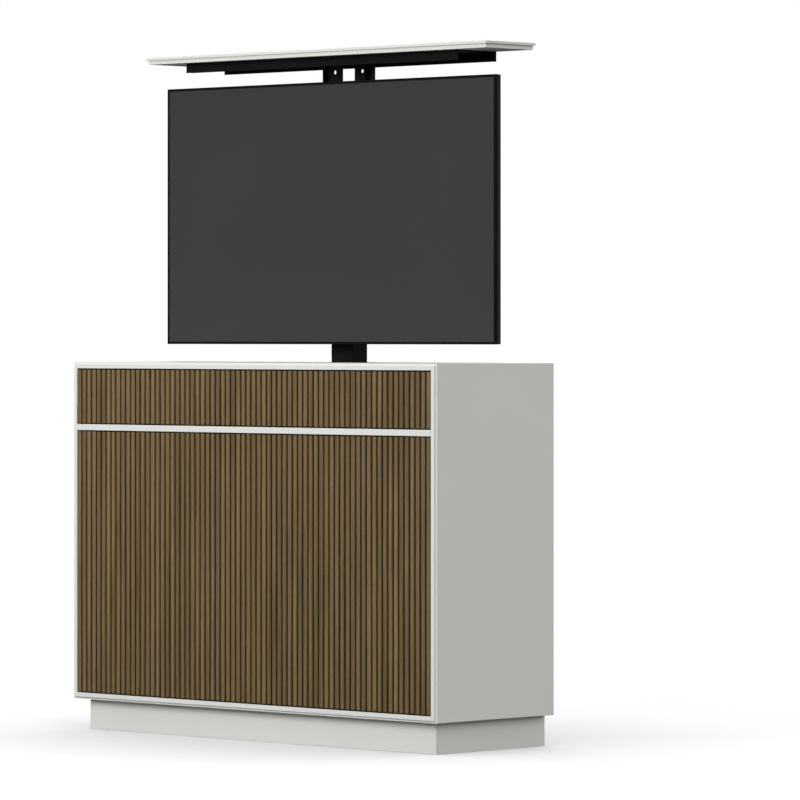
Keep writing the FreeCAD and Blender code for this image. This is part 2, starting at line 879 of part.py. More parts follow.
def build_fronts():
    half = S.seam_gap / 2
    build_flap()
    latches = [
        build_door("door_left", FRONT_LEFT, SEAM_LEFT - half, FRONT_LEFT, LEFT_PIVOT, 1),
        build_door("door_middle", SEAM_LEFT + half, SEAM_RIGHT - half,
                   FRONT_LEFT + DOOR_PITCH, MIDDLE_PIVOT, 1),
        build_door("door_right", SEAM_RIGHT + half, -FRONT_LEFT,
                   FRONT_LEFT + 2 * DOOR_PITCH, RIGHT_PIVOT, -1),
    ]
    return latches


# Push latches.


def latch_housing():
    body = new_body("latch_housing")
    outline = sketch_on(body, "XZ_Plane")
    rectangle(outline, -S.latch_side / 2, -S.latch_side / 2, S.latch_side, S.latch_side)
    pad(body, outline, S.latch_length, backwards=True)
    bore = sketch_on(body, "XZ_Plane")
    circle(bore, 0, 0, S.plunger_radius + S.latch_bore_clearance)
    pocket(body, bore, S.latch_bore_depth)
    return body


def build_latches(door_latches):
    """Housings under the boards; each plunger's nose stands just off its strike plate."""
    nose = FRONT_BACK + S.strike_thickness + S.plunger_gap
    housing_front = nose + S.latch_travel + S.plunger_gap
    spots = [("flap", 0, CEILING - S.latch_side / 2)]
    for name, x in zip(("door_left", "door_middle", "door_right"), door_latches):
        spots.append((name, x, COMPARTMENT_BOTTOM - S.latch_side / 2))
    places = [(x, housing_front, z) for name, x, z in spots]
    keep(copies("latch_housings", latch_housing(), places))
    for name, x, z in spots:
        plunger = f"{name}_plunger"
        keep(rod(plunger, (x, nose, z), "y", S.plunger_radius, S.plunger_length))


# Lift column.


def ring(body, z, outer, inner, length):
    """A rectangular ring about the column's axis, from a height upwards."""
    sketch = sketch_on(body, "XY_Plane", z)
    centred_rectangle(sketch, *outer)
    centred_rectangle(sketch, *inner)
    pad(body, sketch, length)


def grown(size, amount):
    return (size[0] + amount, size[1] + amount)


def tube_bore(outer):
    return grown(outer, -2 * S.column_wall)


def tube(label, outer, length):
    body = new_body(label)
    ring(body, 0, outer, tube_bore(outer), length)
    upright = runs_along("z")
    half = number(outer[0]) / 2

    def outer_corner(edge):
        return upright(edge) and abs(abs(edge.Vertexes[0].X) - half) < 1e-6

    ease(body, S.column_corner, outer_corner)
    return body


def collar(label, outer, inner, bottom):
    """A glide that fills the mouth of one tube and guides the next."""
    body = new_body(label)
    bore = grown(inner, 2 * S.glide_clearance)
    ring(body, 0, tube_bore(outer), bore, S.glide_length)
    ring(body, S.glide_length, outer, bore, S.glide_rim)
    return place(body, 0, COLUMN_Y, bottom)


def shoe(label, outer, inner, bottom):
    """A glide round the foot of a tube, running inside the one outside it."""
    body = new_body(label)
    ring(body, 0, grown(tube_bore(outer), -2 * S.glide_clearance), inner, S.glide_length)
    return place(body, 0, COLUMN_Y, bottom)


def build_outer_column():
    """The fixed tube, welded to its foot plate."""
    body = tube("lift_outer_column", OUTER, OUTER_TOP - FLOOR)
    foot = sketch_on(body, "XY_Plane")
    centred_rectangle(foot, S.foot_width, S.foot_depth)
    pad(body, foot, S.foot_thickness)
    keep(place(body, 0, COLUMN_Y, FLOOR))
    keep(collar("lift_outer_glide", OUTER, MIDDLE, OUTER_TOP - S.glide_length))


def build_middle_column():
    column = tube("lift_middle_column", MIDDLE, MIDDLE_TOP - MIDDLE_BOTTOM)
    keep(place(column, 0, COLUMN_Y, MIDDLE_BOTTOM))
    glides = [
        collar("middle_collar", MIDDLE, INNER, MIDDLE_TOP - S.glide_length),
        shoe("middle_shoe", OUTER, MIDDLE, MIDDLE_BOTTOM),
    ]
    keep(group("lift_middle_glides", glides))


def build_inner_column():
    column = tube("lift_inner_column", INNER, INNER_TOP - INNER_BOTTOM)
    keep(place(column, 0, COLUMN_Y, INNER_BOTTOM))
    keep(shoe("lift_inner_glide", MIDDLE, INNER, INNER_BOTTOM))
    corner = (-S.cap_width / 2, COLUMN_Y - S.cap_depth / 2, INNER_TOP)
    keep(block("column_cap", corner, (S.cap_width, S.cap_depth, S.cap_thickness)))


def build_gearmotor():
    """A worm gear box beside the column's foot, with its motor upright on it."""
    left = OUTER[0] / 2
    box = new_body("gearbox")
    outline = sketch_on(box, "XY_Plane")
    rectangle(outline, 0, -S.gearbox_depth / 2, S.gearbox_width, S.gearbox_depth)
    pad(box, outline, S.gearbox_height)
    right_side = number(S.gearbox_width)
    upright = runs_along("z")
    ease(box, S.gearbox_ease, lambda edge: upright(edge) and edge.Vertexes[0].X > right_side / 2)
    place(box, left, COLUMN_Y, FOOT_TOP)
    centre = left + S.gearbox_width / 2
    base = FOOT_TOP + S.gearbox_height
    can = rod("motor_can", (centre, COLUMN_Y, base), "z", S.motor_radius, S.motor_length)
    end_base = (centre, COLUMN_Y, base + S.motor_length)
    end = rod("motor_end", end_base, "z", S.motor_cap_radius, S.motor_cap_length)
    keep(group("lift_gearmotor", [box, fused("motor", [can, end])]))


def build_column_clamp():
    """A folded strap that ties the fixed tube back to the rear rail."""
    rail_corner = (-INNER_HALF, BACK_RAIL_FRONT, OUTER_TOP - S.back_rail_height)
    keep(block("lift_back_rail", rail_corner, (INNER_WIDTH, S.board, S.back_rail_height)))
    inner = OUTER[0] / 2
    cheek = inner + S.clamp_sheet
    wing = cheek + S.clamp_wing
    back = BACK_RAIL_FRONT - COLUMN_Y
    front = OUTER[1] / 2
    body = new_body("lift_column_clamp")
    outline = sketch_on(body, "XY_Plane")
    polygon(outline, [
        (-wing, back),
        (-wing, front),
        (-cheek, front),
        (-cheek, front - S.clamp_cheek),
        (-inner, front - S.clamp_cheek),
        (-inner, front),
        (inner, front),
        (inner, front - S.clamp_cheek),
        (cheek, front - S.clamp_cheek),
        (cheek, front),
        (wing, front),
        (wing, back),
    ])
    pad(body, outline, S.clamp_height)
    bottom = OUTER_TOP - (S.back_rail_height + S.clamp_height) / 2
    keep(place(body, 0, COLUMN_Y, bottom))


def build_control_box():
    body = new_body("control_box")
    outline = sketch_on(body, "XY_Plane")
    rectangle(outline, 0, 0, S.control_width, S.control_depth)
    pad(body, outline, S.control_height)
    top = lies_at("z", S.control_height)
    ease(body, S.control_ease, top)
    inlet = sketch_on(body, "YZ_Plane")
    rectangle(inlet, (S.control_depth - S.inlet_width) / 2, (S.control_height - S.inlet_height) / 2,
              S.inlet_width, S.inlet_height)
    pocket(body, inlet, S.inlet_depth, backwards=True)
    keep(place(body, -S.control_side - S.control_width / 2, COLUMN_Y - S.control_depth / 2, FLOOR))


# Screen.


def build_bezel():
    body = new_body("tv_bezel")
    outline = sketch_on(body, "XZ_Plane")
    rectangle(outline, 0, 0, S.screen_width, S.screen_height)
    rectangle(outline, S.bezel_width, S.bezel_width,
              S.screen_width - 2 * S.bezel_width, S.screen_height - 2 * S.bezel_width)
    pad(body, outline, S.trim_depth, backwards=True)
    front = lies_at("y", 0)
    half = number(S.screen_width) / 2
    limit = half - number(S.bezel_width) / 2
    rise = number(S.screen_height)

    def outer_front(edge):
        middle = edge.CenterOfMass
        outside = abs(middle.x - half) > limit or min(middle.z, rise - middle.z) < 1
        return front(edge) and outside

    ease(body, S.bezel_ease, outer_front)
    keep(place(body, -S.screen_width / 2, SCREEN_FRONT, SCREEN_BOTTOM))


def build_glass():
    corner = (S.bezel_width - S.screen_width / 2, SCREEN_FRONT + S.glass_recess,
              SCREEN_BOTTOM + S.bezel_width)
    size = (S.screen_width - 2 * S.bezel_width, S.trim_depth - S.glass_recess,
            S.screen_height - 2 * S.bezel_width)
    keep(block("tv_screen", corner, size))


def vesa_places():
    half = S.vesa_pitch / 2
    return [(x, VESA_CENTRE + z) for x in (-half, half) for z in (-half, half)]


def cut_vents(body, rear):
    """Two stacks of slots in the upper part of the housing, beside its mount."""
    slots = sketch_on(body, "XZ_Plane", rear)
    for left in (-S.vent_side - S.vent_width, S.vent_side):
        rectangle(slots, left, S.housing_rise + S.vent_rise, S.vent_width, S.vent_height)
    first = pocket(body, slots, S.vent_depth, backwards=True)
    repeat(body, first, "Z_Axis", S.vent_pitch, S.vent_rows)


def build_rear_cover():
    """The back of the screen, with the electronics housing standing out of it."""
    body = new_body("tv_back_cover")
    slab = sketch_on(body, "XZ_Plane")
    width = S.screen_width - 2 * S.cover_inset
    height = S.screen_height - 2 * S.cover_inset
    rectangle(slab, -width / 2, S.cover_inset, width, height)
    slab_depth = S.screen_thickness - S.trim_depth
    pad(body, slab, slab_depth, backwards=True)
    ease(body, S.cover_ease, lies_at("y", slab_depth))
    housing = sketch_on(body, "XZ_Plane", -slab_depth)
    rectangle(housing, -S.housing_width / 2, S.housing_rise, S.housing_width, S.housing_height)
    bulge = pad(body, housing, S.housing_depth, backwards=True)
    bind(bulge, "TaperAngle", -S.housing_slope)
    rear = -slab_depth - S.housing_depth
    cut_vents(body, rear)
    bay = sketch_on(body, "XZ_Plane", rear)
    rectangle(bay, S.port_bay_side, S.housing_rise + S.port_bay_rise,
              S.port_bay_width, S.port_bay_height)
    pocket(body, bay, S.port_bay_depth, backwards=True)
    holes = sketch_on(body, "XZ_Plane", rear)
    for x, z in vesa_places():
        circle(holes, x, z - SCREEN_BOTTOM, S.vesa_screw_radius)
    pocket(body, holes, S.vesa_screw_length, backwards=True)
    keep(place(body, 0, SCREEN_FRONT + S.trim_depth, SCREEN_BOTTOM))


def build_mount_arms():
    """Two channels screwed to the housing; their flanges stand on the mount plate."""
    body = new_body("mount_arm")
    half = S.arm_width / 2
    section = sketch_on(body, "XY_Plane")
    polygon(section, [
        (-half, 0),
        (half, 0),
        (half, S.plate_gap),
        (half - S.arm_sheet, S.plate_gap),
        (half - S.arm_sheet, S.arm_sheet),
        (S.arm_sheet - half, S.arm_sheet),
        (S.arm_sheet - half, S.plate_gap),
        (-half, S.plate_gap),
    ])
    pad(body, section, S.arm_length)
    holes = sketch_on(body, "XZ_Plane")
    for side in (-1, 1):
        height = S.arm_length / 2 + side * S.vesa_pitch / 2
        circle(holes, 0, height, S.vesa_screw_radius + S.vesa_screw_clearance)
    pocket(body, holes, S.arm_sheet)
    bottom = VESA_CENTRE - S.arm_length / 2
    places = [(side * S.vesa_pitch / 2, HOUSING_BACK, bottom) for side in (-1, 1)]
    keep(copies("tv_mount_arms", body, places))


def build_mount_plate():
    """The hanging plate, with the welded channel that bolts to the inner tube."""
    body = new_body("tv_mount_plate")
    plate = sketch_on(body, "XY_Plane")
    rectangle(plate, -S.plate_width / 2, 0, S.plate_width, S.plate_sheet)
    pad(body, plate, S.plate_height)
    channel = sketch_on(body, "XY_Plane", S.plate_height - S.bracket_height)
    half = S.bracket_width / 2
    wall = half - S.bracket_sheet
    depth = INNER_FRONT - PLATE_FRONT
    polygon(channel, [
        (-half, 0),
        (-wall, 0),
        (-wall, depth - S.bracket_sheet),
        (wall, depth - S.bracket_sheet),
        (wall, 0),
        (half, 0),
        (half, depth),
        (-half, depth),
    ])
    pad(body, channel, S.bracket_height)
    keep(place(body, 0, PLATE_FRONT, PLATE_BOTTOM))


def build_vesa_screws():
    head_front = HOUSING_BACK + S.arm_sheet
    head = prism("vesa_head", (0, 0, 0), 6, S.vesa_head_radius, S.vesa_head, "y")
    reach = S.vesa_screw_length - S.vesa_screw_clearance + S.arm_sheet
    radius = S.vesa_screw_radius - S.vesa_screw_clearance / 2
    shank = prism("vesa_shank", (0, -reach, 0), 8, radius, reach, "y")
    screw = fused("vesa_screw", [head, shank])
    keep(copies("vesa_screws", screw, [(x, head_front, z) for x, z in vesa_places()]))


# Lid and what carries it.


def build_upright(label, side):
    """A folded plate between the cap and the tray, with a stiffening rib."""
    body = new_body(label)
    height = S.upright_height
    section = sketch_on(body, "YZ_Plane")
    polygon(section, [
        (0, 0),
        (S.upright_flange, 0),
        (S.upright_flange, S.upright_sheet),
        (S.upright_sheet, S.upright_sheet),
        (S.upright_sheet, height - S.upright_sheet),
        (S.upright_flange, height - S.upright_sheet),
        (S.upright_flange, height),
        (0, height),
    ])
    pad(body, section, S.upright_width)
    rib_start = S.upright_rib_inset
    hole_start = S.upright_width - S.upright_hole_inset
    if side > 0:
        rib_start = S.upright_width - S.upright_rib_inset - S.upright_sheet
        hole_start = S.upright_hole_inset
    rib = sketch_on(body, "XY_Plane")
    rectangle(rib, rib_start, -S.upright_rib, S.upright_sheet, S.upright_rib)
    pad(body, rib, height)
    hole = sketch_on(body, "XZ_Plane")
    circle(hole, hole_start, TRAY_BOTTOM - CAP_TOP - S.upright_hole_drop, S.upright_hole_radius)
    pocket(body, hole, S.upright_sheet)
    left = S.upright_inner if side > 0 else -S.upright_inner - S.upright_width
    keep(place(body, left, UPRIGHT_FRONT, CAP_TOP))


def lid_screw_places():
    half = S.tray_length / 2 - S.lid_screw_end
    rows = (S.lid_screw_side, S.tray_depth - S.lid_screw_side)
    columns = (-half, half)
    return [(x, row) for x in columns for row in rows]


def build_tray():
    """The folded tray under the lid: a web and two flanges, the front one with a lip
    that stops short of its ends."""
    body = new_body("lid_tray")
    sheet = S.tray_sheet
    depth = S.tray_depth
    height = S.tray_height
    section = sketch_on(body, "YZ_Plane", -S.tray_length / 2)
    polygon(section, [
        (0, 0),
        (S.tray_lip, 0),
        (S.tray_lip, sheet),
        (sheet, sheet),
        (sheet, height - sheet),
        (depth - sheet, height - sheet),
        (depth - sheet, 0),
        (depth, 0),
        (depth, height),
        (0, height),
    ])
    pad(body, section, S.tray_length)
    reliefs = sketch_on(body, "XY_Plane")
    half = S.tray_length / 2
    for left in (-half, half - S.tray_lip_relief):
        rectangle(reliefs, left, sheet, S.tray_lip_relief, S.tray_lip - sheet)
    pocket(body, reliefs, sheet, backwards=True)
    holes = sketch_on(body, "XY_Plane", height)
    for x, y in lid_screw_places():
        circle(holes, x, y, S.lid_screw_radius + S.lid_screw_clearance)
    pocket(body, holes, sheet)
    keep(place(body, 0, TRAY_FRONT, TRAY_BOTTOM))


def build_lid():
    """The lid strip: a cap over a tongue that is set in all round."""
    body = new_body("lid_panel")
    tongue = sketch_on(body, "XY_Plane")
    width = LID_WIDTH - 2 * S.lid_step
    rectangle(tongue, -width / 2, S.lid_step, width, S.lid_depth - 2 * S.lid_step)
    pad(body, tongue, S.lid_tongue)
    cap = sketch_on(body, "XY_Plane", S.lid_tongue)
    rectangle(cap, -LID_WIDTH / 2, 0, LID_WIDTH, S.lid_depth)
    pad(body, cap, S.lid_cap)
    ease(body, S.lid_ease, lies_at("z", S.lid_tongue + S.lid_cap))
    pilots = sketch_on(body, "XY_Plane")
    for x, y in lid_screw_places():
        circle(pilots, x, y + S.tray_setback, S.lid_screw_radius + S.lid_screw_clearance)
    pocket(body, pilots, S.lid_screw_length, backwards=True)
    keep(place(body, 0, LID_FRONT, LID_UNDERSIDE))


def build_lid_screws():
    head_base = (0, 0, -S.lid_screw_head)
    head = prism("lid_screw_head", head_base, 6, S.lid_screw_head_radius, S.lid_screw_head)
    reach = S.tray_sheet + S.lid_screw_length - S.lid_screw_clearance
    shank = prism("lid_screw_shank", (0, 0, 0), 8, S.lid_screw_radius, reach)
    screw = fused("lid_screw", [head, shank])
    places = [(x, TRAY_FRONT + y, WEB_UNDERSIDE) for x, y in lid_screw_places()]
    keep(copies("lid_screws", screw, places))


def build_all():
    build_plinth()
    build_feet()
    build_side("side_left", True)
    build_side("side_right", False)
    build_bottom_board()
    build_top_board()
    build_back()
    build_cable_outlet()
    build_partition()
    build_compartment_board()
    build_storage()
    build_frame()
    door_latches = build_fronts()
    build_latches(door_latches)
    build_outer_column()
    build_middle_column()
    build_inner_column()
    build_gearmotor()
    build_column_clamp()
    build_control_box()
    build_bezel()
    build_glass()
    build_rear_cover()
    build_mount_arms()
    build_mount_plate()
    build_vesa_screws()
    build_upright("lid_upright_left", -1)
    build_upright("lid_upright_right", 1)
    build_tray()
    build_lid()
    build_lid_screws()


def check_document():
    """Stop if any feature failed, cut nothing, or left a bad shape."""
    for item in doc.Objects:
        if "Invalid" in item.State or "Error" in item.State:
            raise RuntimeError(f"{item.Label} did not build")
        if item.TypeId == "PartDesign::Pocket":
            before = item.BaseFeature.Shape.Volume
            if item.Shape.Volume > before - 1e-3:
                raise RuntimeError(f"{item.Label} cuts nothing")
    for item in kept:
        if item.Shape.isNull() or not item.Shape.isValid():
            raise RuntimeError(f"{item.Label} has no valid shape")


def write_parts():
    os.makedirs("parts", exist_ok=True)
    for item in kept:
        item.Shape.exportStep(f"parts/{item.Label}.step")


build_all()
doc.recompute()
check_document()
write_parts()
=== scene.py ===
"""The television lift cabinet, dressed for its portrait.

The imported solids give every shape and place.  This script adds their materials, the
small fittings that the solids leave out, and the studio round them.  The row frame
stands on the floor with the fluted front facing -Y.  Lengths are in metres, apart from
those of the fittings, which are in millimetres until a fitting is done.
"""
import json
import math

import bmesh
import bpy
from mathutils import Matrix, Vector


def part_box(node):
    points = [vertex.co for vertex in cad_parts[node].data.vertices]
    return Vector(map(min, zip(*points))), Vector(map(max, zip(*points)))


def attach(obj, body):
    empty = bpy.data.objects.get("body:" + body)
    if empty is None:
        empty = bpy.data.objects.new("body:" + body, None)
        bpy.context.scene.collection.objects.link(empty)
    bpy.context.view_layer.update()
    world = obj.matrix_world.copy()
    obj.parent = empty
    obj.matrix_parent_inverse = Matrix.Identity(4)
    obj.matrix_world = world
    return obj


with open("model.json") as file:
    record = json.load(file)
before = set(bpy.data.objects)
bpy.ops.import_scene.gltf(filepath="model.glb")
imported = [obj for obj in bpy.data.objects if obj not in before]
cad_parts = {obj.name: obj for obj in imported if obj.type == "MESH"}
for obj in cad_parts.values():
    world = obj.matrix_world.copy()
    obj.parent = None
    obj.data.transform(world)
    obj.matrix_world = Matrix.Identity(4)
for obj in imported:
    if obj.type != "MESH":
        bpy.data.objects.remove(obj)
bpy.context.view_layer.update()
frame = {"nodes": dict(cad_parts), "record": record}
nodes = frame["nodes"]
record = frame["record"]

MM = 0.001


# Camera: a long lens, level with the lower part of the screen.

CAMERA_PLACE = (9.1728, -9.0892, 0.9741)
CAMERA_HEADING = 44.27
LENS = 239.37
SENSOR_WIDTH = 36
HORIZON_SHIFT = -0.08
CAMERA_REACH = 500


def make_camera():
    data = bpy.data.cameras.new("camera")
    data.lens = LENS
    data.sensor_width = SENSOR_WIDTH
    data.shift_y = HORIZON_SHIFT
    data.clip_end = CAMERA_REACH
    camera = bpy.data.objects.new("camera", data)
    camera.location = CAMERA_PLACE
    camera.rotation_euler = (math.radians(90), 0, math.radians(CAMERA_HEADING))
    bpy.context.scene.collection.objects.link(camera)
    bpy.context.scene.camera = camera


# Materials.


def shade(colour, gain=1.0, lift=0.0):
    """A colour made lighter or darker, with its alpha."""
    return [channel * gain + lift for channel in colour] + [1]


class Graph:
    """One material's node tree: what feeds its Principled shader."""

    def __init__(self, name):
        self.material = bpy.data.materials.new(name)
        self.material.use_nodes = True
        self.tree = self.material.node_tree
        self.shader = self.tree.nodes["Principled BSDF"]
        self.place = self.add("ShaderNodeTexCoord").outputs["Object"]

    def add(self, kind, inputs=None, **settings):
        node = self.tree.nodes.new(kind)
        for name, value in settings.items():
            setattr(node, name, value)
        for key, value in (inputs or {}).items():
            self.feed(node.inputs[key], value)
        return node

    def feed(self, socket, value):
        if isinstance(value, bpy.types.NodeSocket):
            self.tree.links.new(value, socket)
        else:
            socket.default_value = value

    def set(self, **inputs):
        for name, value in inputs.items():
            self.feed(self.shader.inputs[name.replace("_", " ")], value)

    def math(self, operation, *values):
        inputs = dict(enumerate(values))
        return self.add("ShaderNodeMath", inputs, operation=operation).outputs[0]

    def vector(self, operation, first, second):
        inputs = {0: first, "Scale" if operation == "SCALE" else 1: second}
        return self.add("ShaderNodeVectorMath", inputs, operation=operation).outputs[0]

    def stretched(self, scale, vector=None):
        inputs = {"Vector": self.place if vector is None else vector, "Scale": scale}
        return self.add("ShaderNodeMapping", inputs).outputs[0]

    def noise(self, scale, detail=2.0, vector=None, distortion=0.0, roughness=0.5):
        inputs = {
            "Vector": self.place if vector is None else vector,
            "Scale": scale,
            "Detail": detail,
            "Roughness": roughness,
            "Distortion": distortion,
        }
        return self.add("ShaderNodeTexNoise", inputs).outputs["Fac"]

    def remap(self, value, low, high, start=0.3, end=0.7):
        """A value between start and end becomes one between low and high."""
        inputs = {"Value": value, "From Min": start, "From Max": end,
                  "To Min": low, "To Max": high}
        return self.add("ShaderNodeMapRange", inputs).outputs[0]

    def blend(self, factor, first, second):
        node = self.add("ShaderNodeMix", data_type="RGBA")
        for index, value in ((0, factor), (6, first), (7, second)):
            self.feed(node.inputs[index], value)
        return node.outputs[2]

    def bump(self, height, strength, distance, edge=0.0):
        """A bumpy skin; edge is the radius to which sharp edges look worn or sanded."""
        inputs = {"Height": height, "Strength": strength, "Distance": distance}
        if edge:
            inputs["Normal"] = self.add("ShaderNodeBevel", {"Radius": edge}).outputs[0]
        self.set(Normal=self.add("ShaderNodeBump", inputs).outputs[0])


def lacquer(name, colour, roughness):
    """Sprayed satin lacquer: faint clouds in its colour, and an orange-peel skin."""
    graph = Graph(name)
    cloud = graph.remap(graph.noise(scale=3.0, detail=3.0), 0, 1)
    smear = graph.noise(scale=18.0, detail=4.0)
    graph.set(Base_Color=graph.blend(cloud, shade(colour, gain=0.975), shade(colour)),
              Roughness=graph.remap(smear, roughness - 0.04, roughness + 0.05))
    graph.bump(graph.noise(scale=420.0), strength=0.06, distance=0.0004)
    return graph.material


SLAT_PITCH = 17.678 * MM
GROOVE = 4.778 * MM
# Painted shade in the grooves: how deep it starts and where it is full, and the tint it gives the
# slats.
GROOVE_SHADE_START = 0.8 * MM
GROOVE_SHADE_END = 3.6 * MM
GROOVE_PAINTED_SHADE = (0.58, 0.46, 0.20, 1)
NO_PAINTED_SHADE = (1, 1, 1, 1)
WALNUT = ((0.106, 0.068, 0.031, 1), (0.246, 0.174, 0.086, 1))
# Painted shade: the backing is the same walnut, coloured darker as if in the shade of the slats.
WALNUT_PAINTED_SHADE = ((0.030, 0.015, 0.003, 1), (0.085, 0.048, 0.014, 1))
WALNUT_YELLOW = (1.0, 1.0, 0.86, 1)
WALNUT_GREY = (1.0, 0.99, 1.12, 1)
BOARD_SHIFT = (3.0, 3.0, 7.0)
FIGURE_SHARE = 0.55


def walnut(name, tones, edge=0.0):
    """Oiled walnut with upright grain; every slat is cut from another board. Painted shade darkens
    it deep in the grooves and towards the bottom.
    """
    graph = Graph(name)
    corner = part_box("flap_slats")[0]
    across, depth, height = graph.add("ShaderNodeSeparateXYZ", {"Vector": graph.place}).outputs
    from_left = graph.math("SUBTRACT", across, corner.x - GROOVE / 2)
    board = graph.math("FLOOR", graph.math("DIVIDE", from_left, SLAT_PITCH))
    chance = graph.add("ShaderNodeTexWhiteNoise", {"W": board}, noise_dimensions="1D").outputs
    shift = graph.vector("MULTIPLY", chance["Color"], BOARD_SHIFT)
    own_place = graph.vector("ADD", graph.place, shift)

    def grain(scale, detail, stretch, distortion=0.0):
        vector = graph.stretched((1, 1, stretch), own_place)
        return graph.noise(scale, detail, vector, distortion, roughness=0.6)

    figure = grain(scale=60.0, detail=4.0, stretch=0.035, distortion=0.6)
    streaks = grain(scale=420.0, detail=5.0, stretch=0.012)
    pores = grain(scale=1500.0, detail=3.0, stretch=0.03)
    pattern = graph.math("ADD", graph.math("MULTIPLY", figure, FIGURE_SHARE),
                         graph.math("MULTIPLY", streaks, 1 - FIGURE_SHARE))
    colour = graph.blend(graph.remap(pattern, 0, 1, start=0.36, end=0.66), *tones)

    tint_chance = graph.add("ShaderNodeSeparateColor", {"Color": chance["Color"]}).outputs["Green"]
    colour = graph.vector("MULTIPLY", colour, graph.blend(tint_chance, WALNUT_YELLOW, WALNUT_GREY))
    # Painted shade: the slats' colour darkens and browns with depth into the grooves.
    groove_shade_depth = graph.remap(depth, 0, 1, corner.y + GROOVE_SHADE_START, corner.y + GROOVE_SHADE_END)
    colour = graph.vector("MULTIPLY", colour, graph.blend(groove_shade_depth, NO_PAINTED_SHADE, GROOVE_PAINTED_SHADE))
    # Pores and a random tone for each board, then painted shade that darkens towards the bottom.
    pores_tone_and_painted_shade = graph.remap(pores, low=0.72, high=1.04, start=0.32, end=0.5)
    for gain in (
        graph.remap(chance["Value"], low=0.93, high=1.17, start=0, end=1),
        # Painted shade: darker towards the bottom, as the light falls off downward.
        graph.remap(height, low=0.955, high=1.055, start=0.09, end=0.9),
    ):
        pores_tone_and_painted_shade = graph.math("MULTIPLY", pores_tone_and_painted_shade, gain)
    graph.set(Base_Color=graph.vector("SCALE", colour, pores_tone_and_painted_shade),
              Roughness=graph.remap(streaks, low=0.5, high=0.64),
              Specular_IOR_Level=0.15)
    skin = graph.math("ADD", pores, graph.math("MULTIPLY", streaks, 0.5))
    graph.bump(skin, strength=0.25, distance=0.0004, edge=edge)
    return graph.material


def powder_coat(name, colour, roughness=0.5, sheen=0.05):
    """Fine textured paint on folded steel."""
    graph = Graph(name)
    wear = graph.noise(scale=30.0, detail=5.0)
    lighter = shade(colour, gain=1.35, lift=0.002)
    graph.set(Base_Color=graph.blend(graph.remap(wear, 0, 1), shade(colour), lighter),
              Roughness=graph.remap(wear, roughness - 0.05, roughness + 0.08),
              Specular_IOR_Level=sheen)
    graph.bump(graph.noise(scale=1400.0), strength=0.25, distance=0.0003, edge=1.2 * MM)
    return graph.material


def moulded(name, colour, roughness=0.45, texture=0.12, sheen=0.05):
    """Moulded plastic with a spark-eroded texture."""
    graph = Graph(name)
    cloud = graph.noise(scale=9.0, detail=3.0)
    lighter = shade(colour, gain=1.12, lift=0.001)
    graph.set(Base_Color=graph.blend(graph.remap(cloud, 0, 1), shade(colour), lighter),
              Roughness=graph.remap(cloud, roughness - 0.04, roughness + 0.05),
              Specular_IOR_Level=sheen)
    graph.bump(graph.noise(scale=900.0, detail=3.0), texture, distance=0.0003, edge=0.8 * MM)
    return graph.material


def plated(name, colour):
    """Plated steel with fine drawn lines."""
    graph = Graph(name)
    lines = graph.noise(scale=700.0, detail=3.0, vector=graph.stretched((1, 1, 0.08)))
    darker = shade(colour, gain=0.76)
    graph.set(Base_Color=graph.blend(graph.remap(lines, 0, 1), darker, shade(colour)),
              Metallic=1.0, Roughness=graph.remap(lines, low=0.28, high=0.42))
    return graph.material


SCREEN_TONES = ((0.041, 0.041, 0.042, 1), (0.045, 0.045, 0.045, 1))


def screen_front(name):
    """The unlit panel under its anti-glare film."""
    graph = Graph(name)
    film = graph.noise(scale=2200.0)
    cloud = graph.remap(graph.noise(scale=1.6), 0, 1)
    graph.set(Base_Color=graph.blend(cloud, *SCREEN_TONES),
              Roughness=graph.remap(film, low=0.62, high=0.72), Specular_IOR_Level=0.12)
    graph.bump(film, strength=0.05, distance=0.0001)
    return graph.material


FINISHES = {
    "white_lacquer": (lacquer, (0.80, 0.808, 0.764), 0.42),
    "carcase_board": (lacquer, (0.72, 0.72, 0.70), 0.55),
    "walnut_slats": (walnut, WALNUT, 2.2 * MM),
    "walnut_backing": (walnut, WALNUT_PAINTED_SHADE),
    "hinge_steel": (plated, (0.08, 0.08, 0.08)),
    "black_steel": (powder_coat, (0.0046, 0.0046, 0.0045)),
    # Painted light: the same black steel, coloured lighter against the shade under the lid's tray.
    "upright_steel": (powder_coat, (0.0115, 0.0115, 0.0112)),
    "mount_steel": (powder_coat, (0.016, 0.016, 0.0165), 0.42, 0.3),
    "black_plastic": (moulded, (0.011, 0.011, 0.0115)),
    "rear_plastic": (moulded, (0.017, 0.017, 0.018), 0.5, 0.3, 0.15),
    "grey_plastic": (moulded, (0.30, 0.30, 0.31)),
    "screen_trim": (moulded, (0.0045, 0.0045, 0.0045), 0.35, 0.04),
    "screen_glass": (screen_front,),
    "port_metal": (plated, (0.62, 0.62, 0.6)),
    "brass": (plated, (0.55, 0.38, 0.12)),
    "foam": (moulded, (0.011, 0.011, 0.011), 0.85, 0.5),
    "silicone": (moulded, (0.62, 0.63, 0.62), 0.25, 0.02),
    "lamp_green": (moulded, (0.03, 0.22, 0.05), 0.2, 0.02),
}

OWN_FINISH = {
    "lid_upright_left": "upright_steel",
    "lid_upright_right": "upright_steel",
    "tv_mount_plate": "mount_steel",
    "tv_mount_arms": "mount_steel",
    "lift_column_clamp": "mount_steel",
    "lift_gearmotor": "mount_steel",
    "tv_back_cover": "rear_plastic",
    "control_box": "rear_plastic",
}

materials = {name: make(name, *values) for name, (make, *values) in FINISHES.items()}


def dress_nodes():
    """Each CAD node takes the material of its slot, or a finish of its own."""
    for row in record["subparts"]:
        finish = OWN_FINISH.get(row["node"], row["material_slot"])
        slots = nodes[row["node"]].data.materials
        slots.clear()
        slots.append(materials[finish])


# Fittings: shapes in millimetres, gathered into one mesh for each piece.

